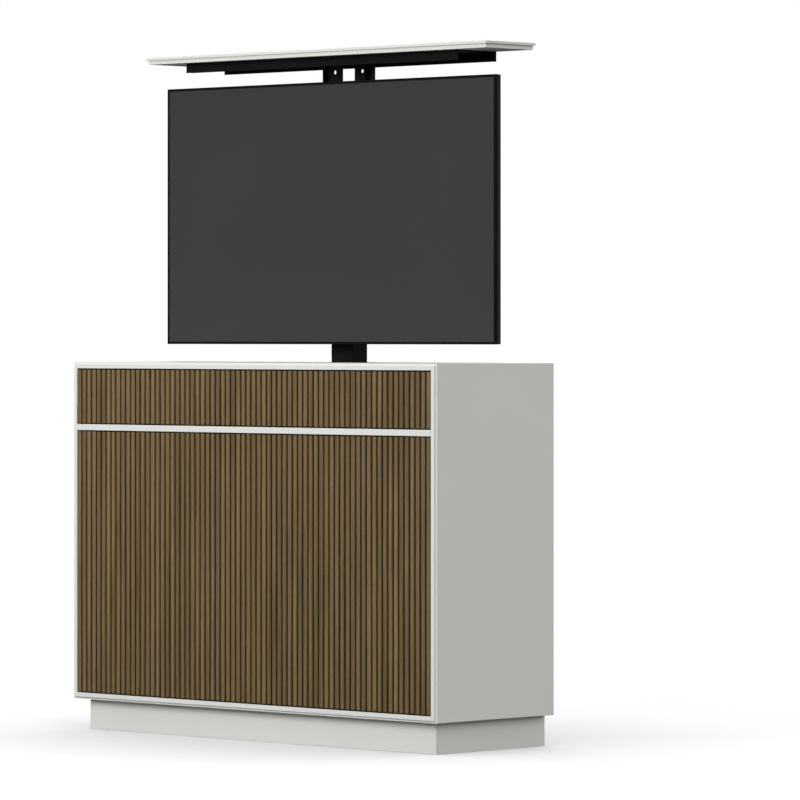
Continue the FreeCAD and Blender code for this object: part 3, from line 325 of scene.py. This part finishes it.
X, Y, Z = Vector((1, 0, 0)), Vector((0, 1, 0)), Vector((0, 0, 1))
SMOOTH_UP_TO = math.radians(35)


def round_ring(radius, angle):
    return radius


def hex_ring(radius, angle):
    """A hexagon's edge, at an angle from one of its corners."""
    sector = math.radians(60)
    return radius * math.cos(sector / 2) / math.cos(angle % sector - sector / 2)


def cross_ring(radius, angle):
    """The edge of a cross recess with arms a third as wide as they are long."""
    near, far = sorted((abs(math.cos(angle)), abs(math.sin(angle))))
    arm = radius / 3
    return min(radius / far, arm / max(near, 1e-6))


class Fitting:
    """One piece, made of closed shapes."""

    def __init__(self):
        self.mesh = bmesh.new()

    def bar(self, low, high, bevel=0.3):
        """A block with rounded edges between two corners."""
        low, high = Vector(low), Vector(high)
        spread = Matrix.LocRotScale((low + high) / 2, None, high - low)
        made = bmesh.ops.create_cube(self.mesh, size=1, matrix=spread)
        edges = {edge for vertex in made["verts"] for edge in vertex.link_edges}
        bmesh.ops.bevel(self.mesh, geom=list(edges), offset=bevel, segments=2,
                        profile=0.5, affect="EDGES")

    def turned(self, base, axis, profile, sides=24):
        """Rings of (radius, height) about an axis, closed at both ends.

        A ring may add its outline, which is round unless it says otherwise.
        """
        turn = Z.rotation_difference(axis).to_matrix()
        rings = []
        for radius, height, *outline in profile:
            reach = outline[0] if outline else round_ring
            ring = []
            for step in range(sides):
                angle = math.tau * step / sides
                out = reach(radius, angle)
                point = Vector((out * math.cos(angle), out * math.sin(angle), height))
                ring.append(self.mesh.verts.new(Vector(base) + turn @ point))
            rings.append(ring)
        for lower, upper in zip(rings, rings[1:]):
            for step in range(sides):
                after = (step + 1) % sides
                self.mesh.faces.new((lower[step], lower[after], upper[after], upper[step]))
        self.mesh.faces.new(rings[0][::-1])
        self.mesh.faces.new(rings[-1])

    def frame(self, low, high, wall, axis="y"):
        """A rectangular tube along an axis, between two corners."""
        along = "xyz".index(axis)
        first, second = [index for index in range(3) if index != along]
        loops = []
        for inset, level in ((0, low), (0, high), (wall, high), (wall, low)):
            firsts = (low[first] + inset, high[first] - inset)
            seconds = (low[second] + inset, high[second] - inset)
            loop = []
            for one, other in ((0, 0), (1, 0), (1, 1), (0, 1)):
                point = Vector()
                point[first], point[second] = firsts[one], seconds[other]
                point[along] = level[along]
                loop.append(self.mesh.verts.new(point))
            loops.append(loop)
        for start, end in zip(loops, loops[1:] + loops[:1]):
            for step in range(4):
                after = (step + 1) % 4
                self.mesh.faces.new((start[step], start[after], end[after], end[step]))

    def screw(self, base, axis, radius, height, drive=cross_ring):
        """A screw head that stands on a face, with its recess."""
        grip = radius * 0.62
        self.turned(base, axis, [
            (radius, 0),
            (radius, height * 0.55),
            (radius * 0.9, height * 0.85),
            (radius * 0.72, height),
            (grip, height, drive),
            (grip * 0.9, height * 0.3, drive),
        ])

    def bolt(self, base, axis, radius, height):
        """A hexagon head on a washer."""
        washer = height * 0.25
        self.turned(base, axis, [
            (radius * 1.35, 0),
            (radius * 1.35, washer),
            (radius, washer, hex_ring),
            (radius, height * 0.9, hex_ring),
            (radius * 0.8, height),
        ])

    def pin(self, base, axis, length, tip_radius):
        """A contact pin that ends in a tapered tip, 1 mm long."""
        self.turned(base, axis, [(1.2, 0), (1.2, length), (tip_radius, length + 1)], sides=16)

    def done(self, name, body, finish, slot):
        """The piece in metres, riding its body."""
        bmesh.ops.scale(self.mesh, vec=(MM, MM, MM), verts=self.mesh.verts)
        bmesh.ops.recalc_face_normals(self.mesh, faces=self.mesh.faces)
        mesh = bpy.data.meshes.new(name)
        self.mesh.to_mesh(mesh)
        self.mesh.free()
        mesh.shade_smooth()
        mesh.set_sharp_from_angle(angle=SMOOTH_UP_TO)
        mesh.materials.append(materials[finish])
        piece = bpy.data.objects.new(name, mesh)
        bpy.context.scene.collection.objects.link(piece)
        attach(piece, body)


def corners(node):
    """The low and high corners of a node's box, in millimetres."""
    low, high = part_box(node)
    return Vector(low) / MM, Vector(high) / MM


# The back of the screen.

SLAB_THICKNESS = 13
COVER_SCREW = {"radius": 3.2, "height": 0.9}
COVER_SCREW_SIDE = 15
COVER_SCREW_END = 14
GRILLE_START, GRILLE_END = 250, 470
GRILLE_BOTTOM, GRILLE_TOP = 24, 46
GRILLE_RIM, GRILLE_RISE = 1.2, 0.9
GRILLE_PITCH = 10
GRILLE_BAR, GRILLE_BAR_RISE = 2.4, 0.7
GRILLE_BAR_INSET = 1
PORT_BAY = (200, 110)
PORT_BAY_SIZE = (140, 70)
PORT_BAY_DEPTH = 10
PANEL_INSET, PANEL_THICKNESS = 1, 0.7
INLET_SIDE, INLET_HALF_WIDTH = 118, 13
INLET_BOTTOM, INLET_TOP = 40, 58
INLET_DEPTH, INLET_WALL = 8.5, 1.6
OPTICAL_SIDE, OPTICAL_HALF_WIDTH = 76, 5
OPTICAL_BOTTOM, OPTICAL_TOP, OPTICAL_DEPTH = 45, 55, 5
CONTACT_SIDE = 4.3
CONTACT_LENGTH = 6
SOCKETS_BASE = 14
SOCKETS = (  # side, width, height
    (22, 15, 6), (44, 15, 6), (66, 15, 6), (88, 13.5, 6.5), (104, 13.5, 6.5), (124, 15.5, 13),
)
SOCKET_DEPTH, SOCKET_WALL = 4.2, 0.6
TONGUE_INSET, TONGUE_HALF_THICKNESS = 2.2, 0.7
TONGUE_DROP = 1
AERIALS = (24, 48)
AERIAL_RISE = 50


def dress_screen_back():
    """Cover screws, speaker grilles and the sockets in the rear cover's recess."""
    low, high = corners("tv_back_cover")
    slab = low.y + SLAB_THICKNESS
    screws = Fitting()
    for x in (low.x + COVER_SCREW_SIDE, low.x / 2, 0, high.x / 2, high.x - COVER_SCREW_SIDE):
        for z in (low.z + COVER_SCREW_END, high.z - COVER_SCREW_END):
            screws.screw((x, slab, z), Y, **COVER_SCREW)
    screws.done("cover_screws", "carriage", "mount_steel", "black_steel")

    grilles = Fitting()
    bottom, top = low.z + GRILLE_BOTTOM, low.z + GRILLE_TOP
    for side in (-1, 1):
        start, end = sorted((side * GRILLE_START, side * GRILLE_END))
        grilles.frame((start, slab, bottom), (end, slab + GRILLE_RISE, top), GRILLE_RIM)
        for x in range(start + GRILLE_PITCH, end, GRILLE_PITCH):
            grilles.bar((x - GRILLE_BAR / 2, slab, bottom + GRILLE_BAR_INSET),
                        (x + GRILLE_BAR / 2, slab + GRILLE_BAR_RISE, top - GRILLE_BAR_INSET),
                        bevel=0.25)
    grilles.done("speaker_grilles", "carriage", "black_plastic", "black_plastic")
    dress_port_bay(PORT_BAY[0], low.z + PORT_BAY[1], high.y - PORT_BAY_DEPTH)


def dress_port_bay(left, bottom, floor):
    """The sockets on the floor of the recess, which has its corner at left and bottom."""
    right, top = left + PORT_BAY_SIZE[0], bottom + PORT_BAY_SIZE[1]
    inlet, optical = left + INLET_SIDE, left + OPTICAL_SIDE
    face = floor + PANEL_THICKNESS
    panel = Fitting()
    panel.bar((left + PANEL_INSET, floor, bottom + PANEL_INSET),
              (right - PANEL_INSET, face, top - PANEL_INSET), bevel=0.2)
    panel.frame((inlet - INLET_HALF_WIDTH, floor, bottom + INLET_BOTTOM),
                (inlet + INLET_HALF_WIDTH, floor + INLET_DEPTH, bottom + INLET_TOP), INLET_WALL)
    panel.bar((optical - OPTICAL_HALF_WIDTH, floor, bottom + OPTICAL_BOTTOM),
              (optical + OPTICAL_HALF_WIDTH, floor + OPTICAL_DEPTH, bottom + OPTICAL_TOP),
              bevel=0.6)
    panel.done("port_panel", "carriage", "black_plastic", "black_plastic")

    metal, tongues = Fitting(), Fitting()
    base = bottom + SOCKETS_BASE
    for side, width, height in SOCKETS:
        start, end, middle = left + side - width / 2, left + side + width / 2, base + height / 2
        metal.frame((start, face, base), (end, face + SOCKET_DEPTH, base + height), SOCKET_WALL)
        tongues.bar((start + TONGUE_INSET, face, middle - TONGUE_HALF_THICKNESS),
                    (end - TONGUE_INSET, face + SOCKET_DEPTH - TONGUE_DROP,
                     middle + TONGUE_HALF_THICKNESS), bevel=0.2)
    for side in AERIALS:
        metal.turned((left + side, face, bottom + AERIAL_RISE), Y, [
            (5.8, 0, hex_ring), (5.8, 2.2, hex_ring), (4.7, 2.6), (4.7, 8.0), (4.3, 8.4),
            (1.6, 8.4), (1.5, 2.0)])
    for side in (-1, 1):
        place = (inlet + side * CONTACT_SIDE, floor, bottom + (INLET_BOTTOM + INLET_TOP) / 2)
        metal.pin(place, Y, CONTACT_LENGTH, tip_radius=0.8)
    metal.done("port_shells", "carriage", "port_metal", "black_plastic")
    tongues.done("port_tongues", "carriage", "black_plastic", "black_plastic")


# The column, its clamp, and what it carries.

FOOT_THICKNESS = 6
FOOT_BOLT = {"radius": 6.5, "height": 5}
FOOT_BOLT_SIDE, FOOT_BOLT_END = 11, 12
CLAMP_SCREW = {"radius": 4.2, "height": 2}
CLAMP_SCREW_SIDE, CLAMP_SCREW_END = 65, 14
PLATE_SCREW = {"radius": 4.5, "height": 2.2, "drive": hex_ring}
PLATE_SCREW_SIDE = 18
PLATE_SCREW_DROPS = (15, 45)
UPRIGHT_SHEET = 3
UPRIGHT_SCREW = {"radius": 4.2, "height": 2.4, "drive": hex_ring}
UPRIGHT_SCREW_SIDES = (10, 36)
UPRIGHT_SCREW_END = 10


def dress_column():
    """Bolts of the foot, clamp, mount plate, cap and uprights."""
    fixed = Fitting()
    low, high = corners("lift_outer_column")
    for x in (low.x + FOOT_BOLT_SIDE, high.x - FOOT_BOLT_SIDE):
        for y in (low.y + FOOT_BOLT_END, high.y - FOOT_BOLT_END):
            fixed.bolt((x, y, low.z + FOOT_THICKNESS), Z, **FOOT_BOLT)
    low, high = corners("lift_column_clamp")
    face = min(corners("lift_outer_glide")[1].y, corners("lift_back_rail")[0].y)
    for side in (-1, 1):
        for z in (low.z + CLAMP_SCREW_END, high.z - CLAMP_SCREW_END):
            fixed.screw((side * CLAMP_SCREW_SIDE, face, z), -Y, **CLAMP_SCREW)
    fixed.done("case_bolts", "case", "port_metal", "black_steel")

    carried = Fitting()
    low, high = corners("tv_mount_plate")
    for x in (-PLATE_SCREW_SIDE, PLATE_SCREW_SIDE):
        for drop in PLATE_SCREW_DROPS:
            carried.screw((x, low.y, high.z - drop), -Y, **PLATE_SCREW)
    cap_top = corners("column_cap")[1].z
    for node, side in (("lid_upright_left", -1), ("lid_upright_right", 1)):
        low, high = corners(node)
        inner = min(abs(low.x), abs(high.x))
        y = high.y - UPRIGHT_SCREW_END
        for reach in UPRIGHT_SCREW_SIDES:
            x = side * (inner + reach)
            carried.screw((x, y, cap_top + UPRIGHT_SHEET), Z, **UPRIGHT_SCREW)
            carried.screw((x, y, high.z - UPRIGHT_SHEET), -Z, **UPRIGHT_SCREW)
    carried.done("carriage_bolts", "carriage", "port_metal", "black_steel")


# The drive and its control box.

GEARBOX_HEIGHT = 64
GEARBOX_SCREW = {"radius": 3.2, "height": 3, "drive": hex_ring}
GEARBOX_SCREW_END = 7
MOTOR_SIDE = 31
MOTOR_SCREW = {"radius": 2.4, "height": 1.6}
MOTOR_SCREW_CIRCLE = 13
BAND_RISE, BAND_DROP = 8, 22
GLAND_RISE, GLAND_REACH = 30, 23


def dress_motor():
    """The gear box's bolts, the motor's screws, its bands and its gland."""
    low, high = corners("lift_gearmotor")
    box_top = low.z + GEARBOX_HEIGHT
    x, y = high.x - MOTOR_SIDE, (low.y + high.y) / 2
    bolts = Fitting()
    for side in (low.x + GEARBOX_SCREW_END, high.x - GEARBOX_SCREW_END):
        for end in (low.y + GEARBOX_SCREW_END, high.y - GEARBOX_SCREW_END):
            bolts.screw((side, end, box_top), Z, **GEARBOX_SCREW)
    for degrees in (30, 150, 270):
        angle = math.radians(degrees)
        place = (x + MOTOR_SCREW_CIRCLE * math.cos(angle),
                 y + MOTOR_SCREW_CIRCLE * math.sin(angle), high.z)
        bolts.screw(place, Z, **MOTOR_SCREW)
    bolts.done("gearbox_bolts", "case", "port_metal", "hinge_steel")

    bands = Fitting()
    for z in (box_top + BAND_RISE, high.z - BAND_DROP):
        bands.turned((x, y, z), Z, [(23.9, 0), (24.6, 0.4), (24.6, 5.6), (23.9, 6)],
                     sides=48)
    bands.turned((x + GLAND_REACH, y, box_top + GLAND_RISE), X, [
        (7, 0, hex_ring), (7, 4, hex_ring), (5.2, 4.6), (5.2, 8), (4.2, 9), (2.4, 9), (2.4, 4)])
    bands.done("motor_bands", "case", "black_plastic", "black_plastic")


BOX_RIBS = 9
BOX_RIB_START, BOX_RIB_PITCH = 60, 8
BOX_RIB_WIDTH, BOX_RIB_RISE = 4, 0.8
BOX_RIB_END = 12
BOX_EAR = 11
BOX_EAR_HALF_WIDTH = 12
BOX_EAR_THICKNESS = 3
BOX_SCREW = {"radius": 4, "height": 2}
PLUG_SIDES = (-18, 4)
PLUG_WIDTH, PLUG_DEPTH, PLUG_WALL = 14, 1.6, 1.2
PLUG_BOTTOM, PLUG_TOP = 12, 25
INLET_FLOOR = 14
INLET_CONTACT_LENGTH = 8.4
LAMP_SIDE, LAMP_SINK = 16, 0.2


def dress_control_box():
    """Ribs, ears, sockets, screws, inlet pins and lamp of the control box."""
    low, high = corners("control_box")
    middle = (low.y + high.y) / 2
    body = Fitting()
    for step in range(BOX_RIBS):
        x = low.x + BOX_RIB_START + step * BOX_RIB_PITCH
        body.bar((x, low.y + BOX_RIB_END, high.z),
                 (x + BOX_RIB_WIDTH, high.y - BOX_RIB_END, high.z + BOX_RIB_RISE))
    for start, end in ((low.x - BOX_EAR, low.x), (high.x, high.x + BOX_EAR)):
        body.bar((start, middle - BOX_EAR_HALF_WIDTH, low.z),
                 (end, middle + BOX_EAR_HALF_WIDTH, low.z + BOX_EAR_THICKNESS), bevel=0.8)
    for side in PLUG_SIDES:
        body.frame((high.x, middle + side, low.z + PLUG_BOTTOM),
                   (high.x + PLUG_DEPTH, middle + side + PLUG_WIDTH, low.z + PLUG_TOP),
                   PLUG_WALL, "x")
    body.done("control_box_fittings", "case", "black_plastic", "black_plastic")

    screws = Fitting()
    for x in (low.x - BOX_EAR / 2, high.x + BOX_EAR / 2):
        screws.screw((x, middle, low.z + BOX_EAR_THICKNESS), Z, **BOX_SCREW)
    screws.done("control_box_screws", "case", "port_metal", "hinge_steel")

    pins = Fitting()
    for side in (-1, 1):
        place = (low.x + INLET_FLOOR, middle + side * CONTACT_SIDE, (low.z + high.z) / 2)
        pins.pin(place, -X, INLET_CONTACT_LENGTH, tip_radius=0.7)
    pins.done("inlet_pins", "case", "brass", "hinge_steel")

    lamp = Fitting()
    lamp.turned((high.x - LAMP_SIDE, middle, high.z - LAMP_SINK), Z,
                [(2.2, 0), (2.2, 0.7), (1.6, 1.3), (0.6, 1.5)], sides=20)
    lamp.done("control_lamp", "case", "lamp_green", "black_plastic")


# The case.

BACK_SCREW = {"radius": 3.4, "height": 0.7}
BACK_SCREW_SIDE, BACK_SCREW_END = 12, 9
BACK_SCREW_SPACES = 6
LID_LEDGE_DROP = 7.0
GASKET_WIDTH, GASKET_THICKNESS = 2.4, 0.35
GASKET_INSET = 0.2
STOP_SIDE = 8
STOP_HEIGHTS = (160, 440, 640)
CAP_FRONT, CAP_BACK = 40, 30
CAP_HEIGHTS = (126, 705, 790)


def dress_case():
    """Back panel screws, the lid's gasket, soft stops for the doors, fitting caps."""
    low, high = corners("back_panel")
    left, right = low.x + BACK_SCREW_SIDE, high.x - BACK_SCREW_SIDE
    screws = Fitting()
    for step in range(BACK_SCREW_SPACES + 1):
        for z in (low.z + BACK_SCREW_END, high.z - BACK_SCREW_END):
            x = left + (right - left) * step / BACK_SCREW_SPACES
            screws.screw((x, high.y, z), Y, **BACK_SCREW)
    for x in (left, right):
        for share in (0.25, 0.5, 0.75):
            screws.screw((x, high.y, low.z + (high.z - low.z) * share), Y, **BACK_SCREW)
    screws.done("back_panel_screws", "case", "port_metal", "hinge_steel")

    wall = high.x
    low, high = corners("lid_panel")
    ledge = corners("top_board")[1].z - LID_LEDGE_DROP
    gasket = Fitting()
    gasket.frame((low.x + GASKET_INSET, low.y + GASKET_INSET, ledge),
                 (high.x - GASKET_INSET, high.y - GASKET_INSET, ledge + GASKET_THICKNESS),
                 GASKET_WIDTH, "z")
    gasket.done("lid_gasket", "case", "foam", "black_plastic")

    low, high = corners("dividers")
    stops = Fitting()
    for x in (low.x + STOP_SIDE, high.x - STOP_SIDE):
        for z in STOP_HEIGHTS:
            stops.turned((x, low.y, z), -Y, [(4.5, 0), (4.5, 0.6), (3.9, 1.2), (2.2, 1.6)])
    stops.done("door_stops", "case", "silicone", "grey_plastic")

    caps = Fitting()
    for side in (-1, 1):
        for y in (low.y + CAP_FRONT, high.y - CAP_BACK):
            for z in CAP_HEIGHTS:
                caps.turned((side * wall, y, z), -X * side,
                            [(7, 0), (7, 0.5), (6.2, 1.0), (2.5, 1.3)])
    caps.done("fitting_caps", "case", "carcase_board", "carcase_board")


# The hinges.

LEAF_MIDDLE = 3.5
LEAF_SCREWS = (10.5, 26.5)
DOOR_LEAF, DOOR_LEAF_SCREW = 1.5, {"radius": 2.4, "height": 0.5}
FLAP_LEAF, FLAP_LEAF_SCREW = 1.0, {"radius": 2.4, "height": 0.3}
BORE_LINER = [(2.4, -9.4), (2.4, 0), (3.4, 0), (3.4, 0.35), (1.55, 0.35), (1.55, -9)]


def hinges():
    return [joint for joint in record["behaviour"]["joints"] if joint["type"] == "hinge"]


def dress_hinges():
    """The liners of the bores that the hinge pins turn in, and the screws of their leaves."""
    rail_low, rail_high = corners("frame_mid_rail")
    lower_face = corners("frame_bottom_rail")[1].z
    liners = Fitting()
    for joint in hinges():
        front = joint["child"]
        low, high = corners(front + "_panel")
        x, y, z = Vector(joint["pos_m"]) / MM
        screws = Fitting()
        if front == "flap":
            seats = (((rail_low.x, y, z), X), ((rail_high.x, y, z), -X))
            for face, out in ((low.x - FLAP_LEAF, -X), (high.x + FLAP_LEAF, X)):
                for reach in LEAF_SCREWS:
                    screws.screw((face, y + LEAF_MIDDLE, z + reach), out, **FLAP_LEAF_SCREW)
        else:
            seats = (((x, y, rail_low.z), -Z), ((x, y, lower_face), Z))
            side = math.copysign(1, low.x + high.x - 2 * x)
            for face, out in ((low.z - DOOR_LEAF, -Z), (high.z + DOOR_LEAF, Z)):
                for reach in LEAF_SCREWS:
                    screws.screw((x + side * reach, y + LEAF_MIDDLE, face), out, **DOOR_LEAF_SCREW)
        screws.done(front + "_leaf_screws", front, "port_metal", "hinge_steel")
        for place, inward in seats:
            liners.turned(place, inward, BORE_LINER)
    liners.done("pivot_liners", "case", "grey_plastic", "grey_plastic")


# Painted shade: dark seals in the gaps, which darken the gap lines round the fronts.
SHADE_SEAL_THICKNESS = 0.8
SHADE_SEAL_FRONT, SHADE_SEAL_BACK = 1, 2
SHADE_SEAL_END = 1
PIVOT_ROOM = 6


def dress_rails():
    """Dark foam seals in the gaps over and under the fronts, put there as painted shade that
    darkens the gap lines; they stop short of the pins.
    """
    low, high = corners("frame_mid_rail")
    head = corners("frame_top_rail")[0].z
    foot = corners("frame_bottom_rail")[1].z
    pivots = sorted(joint["pos_m"][0] / MM for joint in hinges() if joint["child"] != "flap")
    front, back = low.y + SHADE_SEAL_FRONT, high.y - SHADE_SEAL_BACK
    left, right = low.x + SHADE_SEAL_END, high.x - SHADE_SEAL_END
    shade_seals = Fitting()
    faces = ((head, -1, []), (high.z, 1, []), (low.z, -1, pivots), (foot, 1, pivots))
    for level, up, pins in faces:
        bottom, top = sorted((level, level + up * SHADE_SEAL_THICKNESS))
        starts = [left] + [pin + PIVOT_ROOM for pin in pins]
        ends = [pin - PIVOT_ROOM for pin in pins] + [right]
        for start, end in zip(starts, ends):
            if start < end:
                shade_seals.bar((start, front, bottom), (end, back, top), bevel=0.2)
    shade_seals.done("front_shade_seals", "case", "foam", "black_plastic")


def add_fittings():
    dress_screen_back()
    dress_column()
    dress_motor()
    dress_control_box()
    dress_case()
    dress_hinges()
    dress_rails()


# Studio.

FLOOR_SIZE = 400
FLOOR_DROP = 0.5 * MM
FLOOR_BOUNCE = 0.12
FLOOR_TONE = 0.5
FLOOR_SPECK = 0.015
FLOOR_GLOW = 0.62
# Painted shadow on the floor: how dark it gets near the cabinet, and how far it reaches.
FLOOR_PAINTED_SHADOW = 0.55
PAINTED_SHADOW_REACH = 0.9


def make_floor():
    """A pale floor, darkest where the cabinet shades it, with a painted contact shadow near its
    foot; only the camera sees its glow.
    """
    mesh = bpy.data.meshes.new("studio_floor")
    half = FLOOR_SIZE / 2
    square = [(-half, -half, 0), (half, -half, 0), (half, half, 0), (-half, half, 0)]
    mesh.from_pydata(square, [], [(0, 1, 2, 3)])
    floor = bpy.data.objects.new("studio_floor", mesh)
    bpy.context.scene.collection.objects.link(floor)
    floor.location.z = -FLOOR_DROP
    graph = Graph("studio_floor")
    speck = graph.remap(graph.noise(scale=2.0), 0, 1)
    bounced, shown = [
        graph.blend(speck, shade([tone] * 3, 1 - FLOOR_SPECK), shade([tone] * 3, 1 + FLOOR_SPECK))
        for tone in (FLOOR_BOUNCE, FLOOR_TONE)
    ]
    # Painted shadow: occlusion darkens the floor's colour and its glow near the cabinet.
    occlusion = graph.add("ShaderNodeAmbientOcclusion", {"Distance": PAINTED_SHADOW_REACH})
    contact = graph.remap(occlusion.outputs["AO"], 1 - FLOOR_PAINTED_SHADOW, 1, 0, 1)
    seen = graph.add("ShaderNodeLightPath").outputs["Is Camera Ray"]
    glow = graph.math("MULTIPLY", graph.math("MULTIPLY", seen, FLOOR_GLOW), contact)
    graph.set(Base_Color=graph.blend(seen, bounced, graph.vector("SCALE", shown, contact)),
              Emission_Color=(1, 1, 1, 1), Emission_Strength=glow,
              Roughness=0.9, Specular_IOR_Level=0.0)
    mesh.materials.append(graph.material)


SKY_LOW = 1.61
SKY_HIGH = 0.45
SKY_FOOT = (0.05, 0.2)
SKY_EDGE = (0.5, 0.66)
SEEN_SKY = 1.0


def make_world():
    """A bright band over the horizon, under a fainter sky; the camera sees plain white."""
    world = bpy.data.worlds.new("studio")
    world.use_nodes = True
    bpy.context.scene.world = world
    tree = world.node_tree
    height = tree.nodes.new("ShaderNodeSeparateXYZ")
    tree.links.new(tree.nodes.new("ShaderNodeTexCoord").outputs["Generated"], height.inputs[0])
    sky = tree.nodes.new("ShaderNodeMath")
    sky.operation = "MULTIPLY"
    steps = ((*SKY_FOOT, 0, 1), (*SKY_EDGE, SKY_LOW, SKY_HIGH))
    for factor, values in zip(sky.inputs, steps):
        step = tree.nodes.new("ShaderNodeMapRange")
        step.interpolation_type = "SMOOTHSTEP"
        for name, value in zip(("From Min", "From Max", "To Min", "To Max"), values):
            step.inputs[name].default_value = value
        tree.links.new(height.outputs["Z"], step.inputs["Value"])
        tree.links.new(step.outputs[0], factor)
    seen = tree.nodes.new("ShaderNodeMix")
    tree.links.new(tree.nodes.new("ShaderNodeLightPath").outputs["Is Camera Ray"], seen.inputs[0])
    tree.links.new(sky.outputs[0], seen.inputs[2])
    seen.inputs[3].default_value = SEEN_SKY
    background = tree.nodes["Background"]
    background.inputs["Color"].default_value = (1, 1, 1, 1)
    tree.links.new(seen.outputs[0], background.inputs["Strength"])


SOFTBOX_PLACE = (-0.3, -3.7, 2.02)
SOFTBOX_SIZE = (2.0, 2.0)
SOFTBOX_POWER = 62


def make_softbox():
    """A square softbox before the front, facing it."""
    data = bpy.data.lights.new("key", "AREA")
    data.shape = "RECTANGLE"
    data.size, data.size_y = SOFTBOX_SIZE
    data.energy = SOFTBOX_POWER
    softbox = bpy.data.objects.new("key", data)
    softbox.location = SOFTBOX_PLACE
    softbox.rotation_euler = (math.radians(90), 0, 0)
    softbox.visible_camera = False
    bpy.context.scene.collection.objects.link(softbox)


bpy.context.scene.view_settings.view_transform = "Standard"
make_camera()
dress_nodes()
add_fittings()
make_floor()
make_world()
make_softbox()
